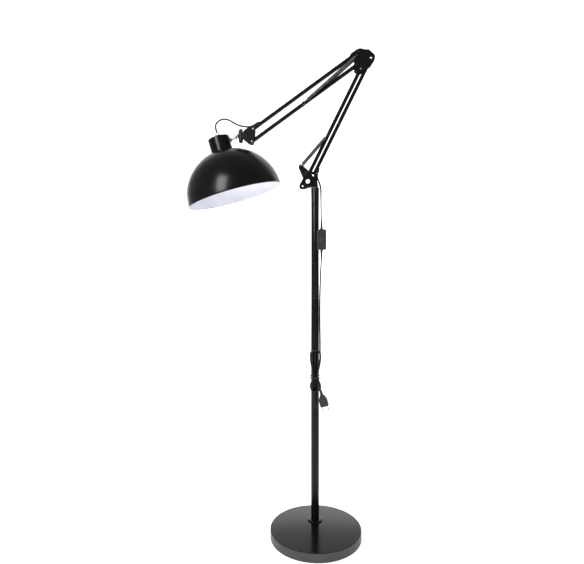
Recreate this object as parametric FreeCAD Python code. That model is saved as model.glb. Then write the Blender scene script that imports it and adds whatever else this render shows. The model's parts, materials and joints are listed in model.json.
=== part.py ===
"""Adjustable arm floor lamp: weighted round base, pole, two sprung parallelogram arms and a
tilting dome shade. Millimetres, +Z up, origin on the floor at the centre of the base. The arms lie
in the XZ plane, the head is on the -X side, and every arm pivot runs along Y."""
import FreeCAD
import Part
import math
import os

Vec = FreeCAD.Vector
X_AXIS = Vec(1, 0, 0)
Y_AXIS = Vec(0, 1, 0)
Z_AXIS = Vec(0, 0, 1)


def in_plane(x, z, y=0.0):
    return Vec(x, y, z)


# ---- driving dimensions ----
BASE_RADIUS = 137.5
BASE_HEIGHT = 28.0
BASE_FORWARD = 44.0
POLE_RADIUS = 12.5
POLE_WALL = 1.2
POLE_TOP = 1092.0
ARM_LENGTH = 408.0
TUBE_SIDE = 11.0
TUBE_WALL = 1.0
LOWER_LEAN = math.radians(26.2)
UPPER_DROP = math.radians(36.2)
SHEET = 1.5
CORD_RADIUS = 2.5
SHADE_RADIUS = 150.0
SHADE_WALL = 1.0
NECK_RADIUS = 34.0
HEAD_LEAN = math.radians(16.0)
ROD_RADIUS = 3.5
SPRING_RADIUS = 4.5
SPRING_WIRE = 0.6
RIVET_RADIUS = 2.5
FIT = 0.05

# heights of everything but the base are laid out from a level this far under the floor
LAYOUT_DROP = 27.0

# ---- layout worked out from them ----
LOWER = in_plane(math.sin(LOWER_LEAN), math.cos(LOWER_LEAN))
LOWER_OUT = in_plane(math.cos(LOWER_LEAN), -math.sin(LOWER_LEAN))
UPPER = in_plane(-math.cos(UPPER_DROP), -math.sin(UPPER_DROP))
UPPER_OUT = in_plane(-math.sin(UPPER_DROP), math.cos(UPPER_DROP))
HALF_TUBE = TUBE_SIDE / 2

REAR_PIVOT = in_plane(-5.5, 1129.0)
FRONT_PIVOT = REAR_PIVOT + in_plane(-32.5, -33.0)
ELBOW_REAR = REAR_PIVOT + LOWER * ARM_LENGTH
ELBOW_FRONT = FRONT_PIVOT + LOWER * ARM_LENGTH
ELBOW_TOP = ELBOW_REAR + in_plane(-38.6, 20.4)
ELBOW_BOTTOM = ELBOW_TOP + in_plane(-4.0, -39.5)
HEAD_TOP = ELBOW_TOP + UPPER * ARM_LENGTH
HEAD_BOTTOM = ELBOW_BOTTOM + UPPER * ARM_LENGTH

HORN_BOLT = in_plane(-22.5, 1110.0)
HORN_TIP = in_plane(-45.3, 1157.0)
LOWER_PIN_AT = 180.0
UPPER_PIN_AT = 209.0
LOWER_PIN = FRONT_PIVOT + LOWER * LOWER_PIN_AT
ELBOW_PIN = ELBOW_BOTTOM + in_plane(-0.7, 27.0)
UPPER_PIN = ELBOW_BOTTOM + UPPER * UPPER_PIN_AT
SPRING_OFFSET = 12.5
PIN_HALF_LENGTH = 16.0
HORN_EYE_RADIUS = 3.5
PIN_EYE_RADIUS = 2.9
SPRING_HOOK_REACH = 16.0
SPRING_START_REACH = 9.5

BRACKET_INNER = 8.2
BRACKET_OUTER = BRACKET_INNER + SHEET
ELBOW_INNER = 6.2
ELBOW_OUTER = ELBOW_INNER + SHEET
HEAD_INNER = 9.5
HEAD_OUTER = HEAD_INNER + SHEET

CLAMP = in_plane(-242.5, 1253.0)
HEAD_PLANE = 16.0
HEAD_AXIS = in_plane(math.sin(HEAD_LEAN), -math.cos(HEAD_LEAN))
HEAD_SIDE = in_plane(math.cos(HEAD_LEAN), math.sin(HEAD_LEAN))
ROD_DEPTH = 15.0
ROD_REACH = 60.0
RIM_DEPTH = 191.0
NECK_DEPTH = 46.0
NECK_TOP = CLAMP - HEAD_SIDE * ROD_REACH - HEAD_AXIS * ROD_DEPTH + Vec(0, HEAD_PLANE, 0)
SHADE_CENTRE = NECK_TOP + HEAD_AXIS * RIM_DEPTH

SWITCH_CENTRE = Vec(19.0, -22.5, 929.0)
SWITCH_SIZE = Vec(29.0, 19.0, 64.0)
ROCKER_SIZE = Vec(12.0, 8.0, 22.0)

HANK_CENTRE = Vec(0.3, -21.5, 525.0)
HANK_LENGTH = 128.0
HANK_WIDTH = 31.6
HANK_WAIST = 15.5
HANK_THICKNESS = 14.0
TIE_HEIGHT = 504.0
PLUG_TOP = Vec(16.0, -33.5, 464.5)
PLUG_AXIS = Vec(0.26, -0.03, -0.965).normalize()

nodes = {}


# ---- shape helpers ----
def keep(name, *solids):
    """Files the solids of one node."""
    nodes[name] = solids[0] if len(solids) == 1 else Part.makeCompound(list(solids))


def cylinder(radius, base, axis, length):
    return Part.makeCylinder(radius, length, base, axis)


def ring(outer, inner, base, axis, length):
    hole = Part.makeCylinder(inner, length + 2, base - axis * 1.0, axis)
    return Part.makeCylinder(outer, length, base, axis).cut(hole)


def rounded_wire(corners, place):
    """A closed wire through corners (u, v, radius), each corner an arc, put in space by place."""
    edges = []
    starts = []
    ends = []
    mids = []
    count = len(corners)
    for i in range(count):
        here = Vec(corners[i][0], corners[i][1], 0)
        back = Vec(corners[i - 1][0], corners[i - 1][1], 0) - here
        ahead = Vec(corners[(i + 1) % count][0], corners[(i + 1) % count][1], 0) - here
        radius = corners[i][2]
        if radius <= 0:
            starts.append(here)
            ends.append(here)
            mids.append(None)
            continue
        back.normalize()
        ahead.normalize()
        half = back.getAngle(ahead) / 2
        run = radius / math.tan(half)
        middle = (back + ahead).normalize()
        centre = here + middle * (radius / math.sin(half))
        starts.append(here + back * run)
        ends.append(here + ahead * run)
        mids.append(centre - middle * radius)
    for i in range(count):
        if mids[i] is not None:
            arc = Part.Arc(place(starts[i]), place(mids[i]), place(ends[i]))
            edges.append(arc.toShape())
        edges.append(Part.LineSegment(place(ends[i]), place(starts[(i + 1) % count])).toShape())
    return Part.Wire(edges)


def plate(corners, y_low, y_high):
    """Sheet whose outline (x, z, radius) lies in the arm plane, between two y values."""
    wire = rounded_wire(corners, lambda p: Vec(p.x, y_low, p.y))
    return Part.Face(wire).extrude(Vec(0, y_high - y_low, 0))


def turned(corners, base, axis):
    """Body turned about axis from a profile of (radius, height, corner radius)."""
    wire = rounded_wire(corners, lambda p: Vec(p.x, 0, p.y))
    solid = Part.Face(wire).revolve(Vec(0, 0, 0), Z_AXIS, 360)
    return placed(solid, base, axis)


def placed(shape, base, axis):
    """Moves a shape made about +Z so that +Z lies along axis and its origin at base."""
    moved = shape.copy()
    moved.Placement = FreeCAD.Placement(base, FreeCAD.Rotation(Z_AXIS, axis))
    return moved


def hexagon(across_flats, base, axis, length):
    radius = across_flats / math.sqrt(3)
    points = [Vec(radius * math.cos(math.radians(60 * i)), radius * math.sin(math.radians(60 * i)), 0)
              for i in range(6)]
    face = Part.Face(Part.makePolygon(points + [points[0]]))
    return placed(face.extrude(Vec(0, 0, length)), base, axis)


def rounded_box(size, radius):
    """Box centred on the origin with every edge rounded."""
    box = Part.makeBox(size.x, size.y, size.z, size * -0.5)
    return box.makeFillet(radius, box.Edges)


def beam_block(origin, along, out, u_range, n_range, half_width):
    """Block in a tube's own directions: along it, out of its top face and across it."""
    corners = [(u_range[0], n_range[0]), (u_range[1], n_range[0]),
               (u_range[1], n_range[1]), (u_range[0], n_range[1])]
    points = [origin + along * u + out * n + Vec(0, -half_width, 0) for u, n in corners]
    return Part.Face(Part.makePolygon(points + [points[0]])).extrude(Vec(0, 2 * half_width, 0))


def route_wire(points, name):
    """Straight runs joined by arcs as large as the two runs allow; prints the tightest one."""
    edges = []
    here = points[0]
    tightest = None
    for i in range(1, len(points) - 1):
        back = points[i - 1] - points[i]
        ahead = points[i + 1] - points[i]
        shorter = min(back.Length, ahead.Length)
        back.normalize()
        ahead.normalize()
        turn = math.pi - back.getAngle(ahead)
        radius = 0.45 * shorter / math.tan(turn / 2)
        run = 0.45 * shorter
        middle = (back + ahead).normalize()
        centre = points[i] + middle * (radius / math.cos(turn / 2))
        start = points[i] + back * run
        end = points[i] + ahead * run
        edges.append(Part.LineSegment(here, start).toShape())
        edges.append(Part.Arc(start, centre - middle * radius, end).toShape())
        here = end
        tightest = radius if tightest is None else min(tightest, radius)
    edges.append(Part.LineSegment(here, points[-1]).toShape())
    if tightest is not None:
        print(f"{name}: tightest radius {tightest:.1f} mm")
    return Part.Wire(edges)


def swept(points, radius, name):
    """Round tube along a route, its volume compared with its section times its length."""
    path = route_wire(points, name)
    start = path.Edges[0]
    direction = start.tangentAt(start.FirstParameter)
    section = Part.Wire([Part.makeCircle(radius, points[0], direction)])
    solid = path.makePipeShell([section], True, False)
    ratio = solid.Volume / (math.pi * radius * radius * path.Length)
    print(f"{name}: length {path.Length:.1f} mm, volume ratio {ratio:.4f}")
    return solid


# ---- repeated sub-parts ----
def rivet(centre, inner_face):
    """Domed shoulder rivet: a tube turns on its middle and its shoulders space the two plates."""
    outer_face = inner_face + SHEET
    pin = cylinder(RIVET_RADIUS, centre - Y_AXIS * outer_face, Y_AXIS, 2 * outer_face)
    for side in (-1, 1):
        outwards = Y_AXIS * side
        head = turned([(0, 0, 0), (4.4, 0, 0), (4.4, 1.8, 1.2), (0, 1.8, 0)],
                      centre + outwards * outer_face, outwards)
        shoulder = cylinder(4.6, centre + outwards * (HALF_TUBE + 0.1), outwards,
                            inner_face - HALF_TUBE - 0.1)
        pin = pin.fuse([head, shoulder])
    return pin


def cross_pin(centre):
    """Pin across a tube that both springs of a pair hook on to."""
    pin = cylinder(2.0, centre - Y_AXIS * PIN_HALF_LENGTH, Y_AXIS, 2 * PIN_HALF_LENGTH)
    for side in (-1, 1):
        pin = pin.fuse(cylinder(3.2, centre + Y_AXIS * (side * (PIN_HALF_LENGTH - 1.2)),
                                Y_AXIS * side, 1.2))
    return pin


def stub_pin(centre, side):
    """Headed stub riveted to one elbow plate for a spring's hook."""
    outwards = Y_AXIS * side
    stub = cylinder(2.0, centre + outwards * ELBOW_INNER, outwards, PIN_HALF_LENGTH - ELBOW_INNER)
    head = cylinder(3.2, centre + outwards * (PIN_HALF_LENGTH - 1.2), outwards, 1.2)
    return stub.fuse(head)


def square_tube(origin, along, out, length):
    """Square tube with rounded ends, from pivot to pivot, with a cross hole at each."""
    reach = HALF_TUBE + 1
    half = HALF_TUBE

    def section(side, radius):
        corners = [(-side, -side, radius), (side, -side, radius),
                   (side, side, radius), (-side, side, radius)]
        start = origin - along * reach
        wire = rounded_wire(corners, lambda p: start + out * p.x + Y_AXIS * p.y)
        return Part.Face(wire).extrude(along * (length + 2 * reach))

    stadium = beam_block(origin, along, out, (0, length), (-half, half), half)
    for pivot in (origin, origin + along * length):
        stadium = stadium.fuse(cylinder(half, pivot - Y_AXIS * half, Y_AXIS, 2 * half))
    solid = section(half, 1.2).cut(section(half - TUBE_WALL, 0.5)).common(stadium)
    for pivot in (origin, origin + along * length):
        solid = solid.cut(cylinder(RIVET_RADIUS + FIT, pivot - Y_AXIS * 6, Y_AXIS, 12))
    return solid


GROMMET_START = 16.0
GROMMET_END = 30.0
GROMMET_TOP = 10.6
GROMMET_CORD = 8.2
GROMMET_SLOT = 3.0


def grommet(origin, along, out):
    """Black cord grommet on a tube: a boss outside and a plug through a slot in the wall."""
    boss = plate_in_beam(origin, along, out,
                         [(GROMMET_START, HALF_TUBE, 0), (GROMMET_END, HALF_TUBE, 0),
                          (GROMMET_END, HALF_TUBE + 1.5, 0), (GROMMET_START + 5, GROMMET_TOP, 3),
                          (GROMMET_START, GROMMET_TOP, 0.6)], 4.2)
    plug = beam_block(origin, along, out, (GROMMET_START + 2, GROMMET_END - 1),
                      (-3.5, HALF_TUBE + 0.5), GROMMET_SLOT - 0.1)
    return boss.fuse(plug)


def plate_in_beam(origin, along, out, corners, half_width):
    wire = rounded_wire(corners, lambda p: origin + along * p.x + out * p.y - Y_AXIS * half_width)
    return Part.Face(wire).extrude(Vec(0, 2 * half_width, 0))


def grommet_slot(origin, along, out):
    return beam_block(origin, along, out, (GROMMET_START + 1.9, GROMMET_END - 0.9),
                      (0, HALF_TUBE + 2), GROMMET_SLOT)


def spring(start, end, hook_centre, hook_axis, hook_radius):
    """Pair of close-wound tension springs, hooked at start, the coils ending short of end."""
    parts = []
    along = (end - start).normalize()
    coil_length = (end - start).Length - SPRING_START_REACH - SPRING_HOOK_REACH
    stem_from = (hook_centre - start).dot(along) + hook_radius
    for side in (-1, 1):
        offset = Y_AXIS * (side * SPRING_OFFSET)
        first = start + offset + along * SPRING_START_REACH
        coil = ring(SPRING_RADIUS, SPRING_RADIUS - 1.2, first, along, coil_length)
        cap = ring(SPRING_RADIUS, 0.4, first, along, 1.2)
        stem = cylinder(SPRING_WIRE, start + offset + along * stem_from, along,
                        SPRING_START_REACH - stem_from + 0.8)
        eye = Part.makeTorus(hook_radius, SPRING_WIRE, hook_centre + offset, hook_axis)
        parts.append(coil.fuse([cap, stem, eye]))
    return parts


def spring_links(start, end):
    """Wire links that join the far ends of a pair of springs to their cross pin."""
    parts = []
    along = (end - start).normalize()
    for side in (-1, 1):
        offset = Y_AXIS * (side * SPRING_OFFSET)
        inner = end + offset - along * SPRING_HOOK_REACH
        stem = cylinder(SPRING_WIRE, inner, along, SPRING_HOOK_REACH - PIN_EYE_RADIUS)
        button = cylinder(SPRING_RADIUS - 1.5, inner - along * 1.2, along, 1.2)
        eye = Part.makeTorus(PIN_EYE_RADIUS, SPRING_WIRE, end + offset, Y_AXIS)
        parts.append(stem.fuse([button, eye]))
    return parts


# ---- stand ----
FOOT_COLLAR = 4.0
PAD = 2.0
COVER_WALL = 1.2
STUD_RADIUS = 5.0
TUBE_START = LAYOUT_DROP + BASE_HEIGHT + FOOT_COLLAR
BUSH_FLANGE = 4.0
TUBE_LENGTH = (POLE_TOP - BUSH_FLANGE - TUBE_START) / 3
BORE_RADIUS = POLE_RADIUS - POLE_WALL
BUSH_LENGTH = 45.0
PIN_RADIUS = 6.0


def make_base():
    """Round base; the pole stands behind its centre, on a stud through all three pieces."""
    middle = Vec(0, -BASE_FORWARD, 0)
    stud_hole = cylinder(5.2, Vec(0, 0, -1), Z_AXIS, BASE_HEIGHT + 2)
    pad = cylinder(131.5, middle, Z_AXIS, PAD)
    keep("base_pad", pad.cut(cylinder(16.0, Vec(0, 0, -1), Z_AXIS, PAD + 2)))
    weight = turned([(0, PAD, 0), (130.5, PAD, 1), (130.5, 17, 3), (125, 22.5, 3), (0, 22.5, 0)],
                    middle, Z_AXIS)
    keep("base_weight", weight.cut([stud_hole, cylinder(14.0, Vec(0, 0, 0), Z_AXIS, 11)]))
    r = BASE_RADIUS
    h = BASE_HEIGHT
    w = COVER_WALL
    cover = turned([(r, 1, 0), (r, h - 1, 4), (r - 14, h, 6), (0, h, 0), (0, h - w, 0),
                    (r - 14, h - w, 4), (r - w, h - 1 - w, 2.8), (r - w, 1, 0)], middle, Z_AXIS)
    keep("base_cover", cover.cut(stud_hole))
    washer = ring(12.0, STUD_RADIUS + 0.2, Vec(0, 0, 9.4), Z_AXIS, 1.6)
    nut = hexagon(17.0, Vec(0, 0, 3.0), Z_AXIS, 6.4)
    keep("base_fixings", washer, nut.cut(cylinder(STUD_RADIUS, Vec(0, 0, 2), Z_AXIS, 9)))


def make_pole():
    top = BASE_HEIGHT + FOOT_COLLAR
    foot = turned([(0, 2.6, 0), (STUD_RADIUS, 2.6, 0.8), (STUD_RADIUS, BASE_HEIGHT, 0),
                   (23, BASE_HEIGHT, 0), (23, top - 1, 1), (18, top, 1), (BORE_RADIUS - FIT, top, 0),
                   (BORE_RADIUS - FIT, top + 22, 1), (0, top + 22, 0)],
                  Vec(0, 0, LAYOUT_DROP), Z_AXIS)
    keep("pole_foot", foot)
    tubes = []
    joiners = []
    for i in range(3):
        low = TUBE_START + i * TUBE_LENGTH
        tubes.append(turned([(BORE_RADIUS, low, 0), (POLE_RADIUS, low, 0.3),
                             (POLE_RADIUS, low + TUBE_LENGTH, 0.3),
                             (BORE_RADIUS, low + TUBE_LENGTH, 0)], Vec(0, 0, 0), Z_AXIS))
        if i > 0:
            joiners.append(ring(BORE_RADIUS - FIT, 8.5, Vec(0, 0, low - 30), Z_AXIS, 60))
    keep("pole_tubes", *tubes)
    keep("pole_joiners", *joiners)
    flange = POLE_TOP - BUSH_FLANGE
    bush = turned([(PIN_RADIUS + FIT, flange - BUSH_LENGTH, 0),
                   (BORE_RADIUS - FIT, flange - BUSH_LENGTH, 1), (BORE_RADIUS - FIT, flange, 0),
                   (POLE_RADIUS, flange, 0), (POLE_RADIUS, POLE_TOP, 1.2),
                   (PIN_RADIUS + FIT, POLE_TOP, 0)], Vec(0, 0, 0), Z_AXIS)
    keep("pole_top_bush", bush)


# ---- bracket that turns on the pole ----
TAB_LOW = POLE_TOP + 1.2
TAB_HIGH = TAB_LOW + 2.0
HORN_LOW = 6.6
HORN_STEP = 4.4
HORN_BOLT_RADIUS = 3.0


def make_bracket():
    outline = [(-50.0, 1097.0, 7), (-36.0, 1123.5, 3), (-12.0, 1141.5, 5), (4.5, 1138.0, 7),
               (6.0, 1117.0, 3), (9.0, TAB_LOW - 0.2, 1), (-16.0, TAB_LOW - 0.2, 3),
               (-34.0, 1087.3, 7), (-46.0, 1087.8, 5)]
    web_x = 5.0
    parts = []
    for side in (-1, 1):
        low = min(side * BRACKET_INNER, side * BRACKET_OUTER)
        parts.append(plate(outline, low, low + SHEET))
    web = Part.makeBox(SHEET, 2 * BRACKET_OUTER, 1112.0 - TAB_LOW,
                       Vec(web_x, -BRACKET_OUTER, TAB_LOW))
    tab = Part.makeBox(web_x + SHEET + 12, 2 * BRACKET_OUTER, TAB_HIGH - TAB_LOW,
                       Vec(-12, -BRACKET_OUTER, TAB_LOW))
    bracket = parts[0].fuse([parts[1], web, tab])
    for pivot in (REAR_PIVOT, FRONT_PIVOT):
        bracket = bracket.cut(cylinder(RIVET_RADIUS, pivot - Y_AXIS * 20, Y_AXIS, 40))
    bracket = bracket.cut(cylinder(HORN_BOLT_RADIUS, HORN_BOLT - Y_AXIS * 20, Y_AXIS, 40))
    bracket = bracket.cut(cylinder(3.2, Vec(0, 0, TAB_LOW - 1), Z_AXIS, 6))
    keep("arm_bracket", bracket)

    pin = turned([(0, POLE_TOP - 48, 0), (PIN_RADIUS, POLE_TOP - 48, 1), (PIN_RADIUS, POLE_TOP + 0.1, 0),
                  (7.9, POLE_TOP + 0.1, 0), (7.9, TAB_LOW, 0.3), (3.2, TAB_LOW, 0),
                  (3.2, TAB_HIGH, 0), (4.9, TAB_HIGH, 0), (4.9, TAB_HIGH + 2, 1.2),
                  (0, TAB_HIGH + 2, 0)], Vec(0, 0, 0), Z_AXIS)
    keep("swivel_pin", pin)
    keep("bracket_rivets", rivet(REAR_PIVOT, BRACKET_INNER), rivet(FRONT_PIVOT, BRACKET_INNER))


def horn(side):
    """Spring horn: bolted inside the bracket plate, stepped outwards past the plate's edge."""
    across = in_plane(0.783, 0.622)
    up = in_plane(-0.622, 0.783)
    step_from = 20.8
    step_to = 30.3
    y0 = HORN_LOW
    y1 = HORN_LOW + HORN_STEP
    profile = [(-20, y0, 0), (step_from, y0, 2), (step_to, y1, 3.5), (60, y1, 0),
               (60, y1 + SHEET, 0), (step_to - 0.6, y1 + SHEET, 2), (step_from - 0.6, y0 + SHEET, 3.5),
               (-20, y0 + SHEET, 0)]
    start = HORN_BOLT - across * 40
    wire = rounded_wire(profile, lambda p: start + up * p.x + Y_AXIS * (side * p.y))
    folded = Part.Face(wire).extrude(across * 80)
    outline = [(-33.0, 1103.0, 8), (-38.0, 1123.5, 6), (-53.4, 1161.2, 5.6), (-43.7, 1163.0, 5.6),
               (-20.0, 1142.8, 5), (-13.0, 1131.0, 5), (-12.5, 1112.0, 9), (-20.0, 1099.5, 7)]
    solid = folded.common(plate(outline, -20, 20))
    solid = solid.cut(cylinder(HORN_BOLT_RADIUS, HORN_BOLT - Y_AXIS * 20, Y_AXIS, 40))
    return solid.cut(cylinder(1.8, HORN_TIP - Y_AXIS * 20, Y_AXIS, 40))


def make_horns():
    bolts = []
    for side in (-1, 1):
        outwards = Y_AXIS * side
        face = HORN_BOLT + outwards * BRACKET_OUTER
        flange = cylinder(7.0, face, outwards, 1.0)
        head = hexagon(10.0, face + outwards, outwards, 4.0)
        shank = cylinder(HORN_BOLT_RADIUS, HORN_BOLT + outwards * (HORN_LOW - 0.2), outwards,
                         BRACKET_OUTER + 0.5 - HORN_LOW)
        socket = hexagon(5.0, face + outwards * 2.5, outwards, 4.0)
        bolts.append(flange.fuse([head, shank]).cut(socket))
    keep("horn_bolts", *bolts)
    keep("spring_horns", horn(-1), horn(1))


# ---- lower arm ----
def cord_core(origin, along, length):
    """The lead inside an arm tube, between the tube's two grommets."""
    start = origin + along * (GROMMET_END - 1)
    return cylinder(CORD_RADIUS, start, along, length - 2 * (GROMMET_END - 1))


def make_lower_arm():
    rear = square_tube(REAR_PIVOT, LOWER, LOWER_OUT, ARM_LENGTH)
    rear = rear.cut([grommet_slot(REAR_PIVOT, LOWER, LOWER_OUT),
                     grommet_slot(ELBOW_REAR, LOWER * -1, LOWER_OUT)])
    keep("lower_rear_tube", rear)
    keep("lower_arm_grommets", grommet(REAR_PIVOT, LOWER, LOWER_OUT),
         grommet(ELBOW_REAR, LOWER * -1, LOWER_OUT))
    keep("lower_arm_cord", cord_core(REAR_PIVOT, LOWER, ARM_LENGTH))
    front = square_tube(FRONT_PIVOT, LOWER, LOWER_OUT, ARM_LENGTH)
    keep("lower_front_tube", front.cut(cylinder(2.0, LOWER_PIN - Y_AXIS * 9, Y_AXIS, 18)))
    keep("lower_spring_pin", cross_pin(LOWER_PIN))
    along = (LOWER_PIN - HORN_TIP).normalize()
    keep("lower_springs", *spring(HORN_TIP, LOWER_PIN, HORN_TIP + along * HORN_EYE_RADIUS,
                                  along.cross(Y_AXIS), HORN_EYE_RADIUS))
    keep("lower_spring_links", *spring_links(HORN_TIP, LOWER_PIN))


# ---- elbow ----
def make_elbow():
    outline = [(128.0, 1521.5, 4), (167.5, 1521.5, 6), (187.5, 1503.0, 10), (184.5, 1487.0, 8),
               (151.0, 1452.5, 8), (137.0, 1445.5, 7), (122.5, 1454.0, 6), (122.5, 1492.0, 4),
               (127.0, 1505.0, 4)]
    pivots = (ELBOW_TOP, ELBOW_BOTTOM, ELBOW_REAR, ELBOW_FRONT)
    sheets = []
    for side in (-1, 1):
        low = min(side * ELBOW_INNER, side * ELBOW_OUTER)
        sheet = plate(outline, low, low + SHEET)
        for pivot in pivots:
            sheet = sheet.cut(cylinder(RIVET_RADIUS, pivot - Y_AXIS * 20, Y_AXIS, 40))
        sheets.append(sheet.cut(cylinder(2.0, ELBOW_PIN - Y_AXIS * 20, Y_AXIS, 40)))
    keep("elbow_plates", *sheets)
    keep("elbow_rivets", *[rivet(pivot, ELBOW_INNER) for pivot in pivots])
    keep("elbow_spring_pin", stub_pin(ELBOW_PIN, -1), stub_pin(ELBOW_PIN, 1))


# ---- upper arm ----
def make_upper_arm():
    top = square_tube(ELBOW_TOP, UPPER, UPPER_OUT, ARM_LENGTH)
    top = top.cut([grommet_slot(ELBOW_TOP, UPPER, UPPER_OUT),
                   grommet_slot(HEAD_TOP, UPPER * -1, UPPER_OUT)])
    keep("upper_top_tube", top)
    keep("upper_arm_grommets", grommet(ELBOW_TOP, UPPER, UPPER_OUT),
         grommet(HEAD_TOP, UPPER * -1, UPPER_OUT))
    keep("upper_arm_cord", cord_core(ELBOW_TOP, UPPER, ARM_LENGTH))
    bottom = square_tube(ELBOW_BOTTOM, UPPER, UPPER_OUT, ARM_LENGTH)
    keep("upper_bottom_tube", bottom.cut(cylinder(2.0, UPPER_PIN - Y_AXIS * 9, Y_AXIS, 18)))
    keep("upper_spring_pin", cross_pin(UPPER_PIN))
    keep("upper_springs", *spring(ELBOW_PIN, UPPER_PIN, ELBOW_PIN, Y_AXIS, PIN_EYE_RADIUS))
    keep("upper_spring_links", *spring_links(ELBOW_PIN, UPPER_PIN))


# ---- head joint ----
BOLT_RADIUS = 5.0
HEAD_WEB = -223.0
KNOB_RADIUS = 22.0
KNOB_DEPTH = 12.6
KNOB_FACE = HEAD_WEB - 1.2


def on_bolt(x):
    return Vec(x, 0, CLAMP.z)


def make_head_bracket():
    outline = [(HEAD_WEB, 1267.0, 2), (-206.0, 1280.0, 5), (-190.0, 1282.5, 5), (-186.0, 1272.0, 4),
               (-188.0, 1246.0, 4), (-190.5, 1230.0, 4), (-198.0, 1226.0, 4), (-207.0, 1229.5, 4),
               (HEAD_WEB, 1242.0, 2)]
    parts = []
    for side in (-1, 1):
        low = min(side * HEAD_INNER, side * HEAD_OUTER)
        parts.append(plate(outline, low, low + SHEET))
    web = Part.makeBox(SHEET, 2 * HEAD_OUTER, 22.0, Vec(HEAD_WEB, -HEAD_OUTER, CLAMP.z - 9.5))
    bracket = parts[0].fuse([parts[1], web])
    for pivot in (HEAD_TOP, HEAD_BOTTOM):
        bracket = bracket.cut(cylinder(RIVET_RADIUS, pivot - Y_AXIS * 20, Y_AXIS, 40))
    keep("head_bracket", bracket.cut(cylinder(BOLT_RADIUS + FIT, on_bolt(HEAD_WEB - 2), X_AXIS, 6)))
    keep("head_rivets", rivet(HEAD_TOP, HEAD_INNER), rivet(HEAD_BOTTOM, HEAD_INNER))


def make_clamp():
    left = X_AXIS * -1
    head_face = HEAD_WEB + SHEET + 1.2
    end = CLAMP.x - 8.0
    bolt = cylinder(BOLT_RADIUS, on_bolt(head_face), left, head_face - end)
    bolt = bolt.fuse(turned([(0, 0, 0), (8, 0, 0), (8, 4, 1.5), (0, 4, 0)], on_bolt(head_face), X_AXIS))
    bolt = bolt.cut(cylinder(ROD_RADIUS + FIT, CLAMP - Y_AXIS * 12, Y_AXIS, 24))
    keep("swivel_bolt", bolt)
    bore = BOLT_RADIUS + FIT
    knob = turned([(bore, 0, 0), (12, 0, 3), (KNOB_RADIUS, 4.2, 1.2), (KNOB_RADIUS, 8.2, 1.2),
                   (12, KNOB_DEPTH, 6), (bore, KNOB_DEPTH, 0)], on_bolt(KNOB_FACE), left)
    notches = []
    for i in range(10):
        angle = math.radians(36 * i)
        spot = Vec(0, math.cos(angle), math.sin(angle)) * (KNOB_RADIUS + 2.6)
        notches.append(cylinder(3.6, on_bolt(KNOB_FACE + 1) + spot, left, KNOB_DEPTH + 2))
    keep("clamp_knob", knob.cut(notches))
    cup_face = KNOB_FACE - KNOB_DEPTH - 0.1
    cup_end = CLAMP.x + ROD_RADIUS + 0.1
    keep("clamp_washers", ring(8.5, bore, on_bolt(cup_face), left, cup_face - cup_end),
         ring(8.0, bore, on_bolt(HEAD_WEB + SHEET + 0.1), X_AXIS, 1.0),
         ring(10.0, bore, on_bolt(HEAD_WEB - 1.1), X_AXIS, 1.0))


def make_rod():
    """Chromed rod: out of the neck's side, bent, and across through the hole in the bolt."""
    axis_point = NECK_TOP + HEAD_AXIS * ROD_DEPTH
    inside = axis_point + HEAD_SIDE * 25.0
    corner = axis_point + HEAD_SIDE * ROD_REACH
    across = Y_AXIS * -1
    tail = corner + across * (HEAD_PLANE + 14.0)
    bend = 9.0
    before = corner - HEAD_SIDE * bend
    after = corner + across * bend
    centre = before + across * bend
    middle = centre + (corner - centre).normalize() * bend
    path = Part.Wire([Part.LineSegment(inside, before).toShape(),
                      Part.Arc(before, middle, after).toShape(),
                      Part.LineSegment(after, tail).toShape()])
    section = Part.Wire([Part.makeCircle(ROD_RADIUS, inside, HEAD_SIDE)])
    keep("head_rod", path.makePipeShell([section], True, False))
    wall = axis_point + HEAD_SIDE * (NECK_RADIUS + 0.1)
    washer = ring(8.0, ROD_RADIUS, wall, HEAD_SIDE, 1.2)
    nuts = [hexagon(12.0, wall + HEAD_SIDE * 1.2, HEAD_SIDE, 4.0),
            hexagon(12.0, axis_point + HEAD_SIDE * 26.5, HEAD_SIDE, 3.6)]
    bore = cylinder(ROD_RADIUS, axis_point, HEAD_SIDE, 60)
    keep("rod_fixings", washer, *[nut.cut(bore) for nut in nuts])


# ---- head ----
HOLDER_RADIUS = 20.0
GLAND_TOP = 17.0
NECK_CONE = 6.0


def shade_cap(outer, inner, hole):
    """Part of a hollow ball from a hole at its top to the rim plane."""
    def on_ball(radius, angle):
        return Vec(radius * math.sin(angle), 0, RIM_DEPTH - radius * math.cos(angle))

    first_out = math.asin(hole / outer)
    first_in = math.asin(hole / inner)
    quarter = math.pi / 2
    edges = [Part.Arc(on_ball(outer, first_out), on_ball(outer, (first_out + quarter) / 2),
                      on_ball(outer, quarter)).toShape(),
             Part.LineSegment(on_ball(outer, quarter), on_ball(inner, quarter)).toShape(),
             Part.Arc(on_ball(inner, quarter), on_ball(inner, (first_in + quarter) / 2),
                      on_ball(inner, first_in)).toShape(),
             Part.LineSegment(on_ball(inner, first_in), on_ball(outer, first_out)).toShape()]
    solid = Part.Face(Part.Wire(edges)).revolve(Vec(0, 0, 0), Z_AXIS, 360)
    return placed(solid, NECK_TOP, HEAD_AXIS)


def on_head(shape):
    """Carries a shape made about the head's own axis (+Z downwards from the neck) into place."""
    matrix = FreeCAD.Placement(NECK_TOP, FreeCAD.Rotation(Z_AXIS, HEAD_AXIS)).toMatrix()
    return shape.transformGeometry(matrix)


def vent_slot(start_angle):
    """Cutter for one curved slot through the top of the dome, under the neck."""
    slot = Part.makeCylinder(29.0, 40, Vec(0, 0, 30), Z_AXIS, 34)
    slot = slot.cut(Part.makeCylinder(26.0, 44, Vec(0, 0, 28), Z_AXIS))
    slot.rotate(Vec(0, 0, 0), Z_AXIS, start_angle)
    return on_head(slot)


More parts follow.
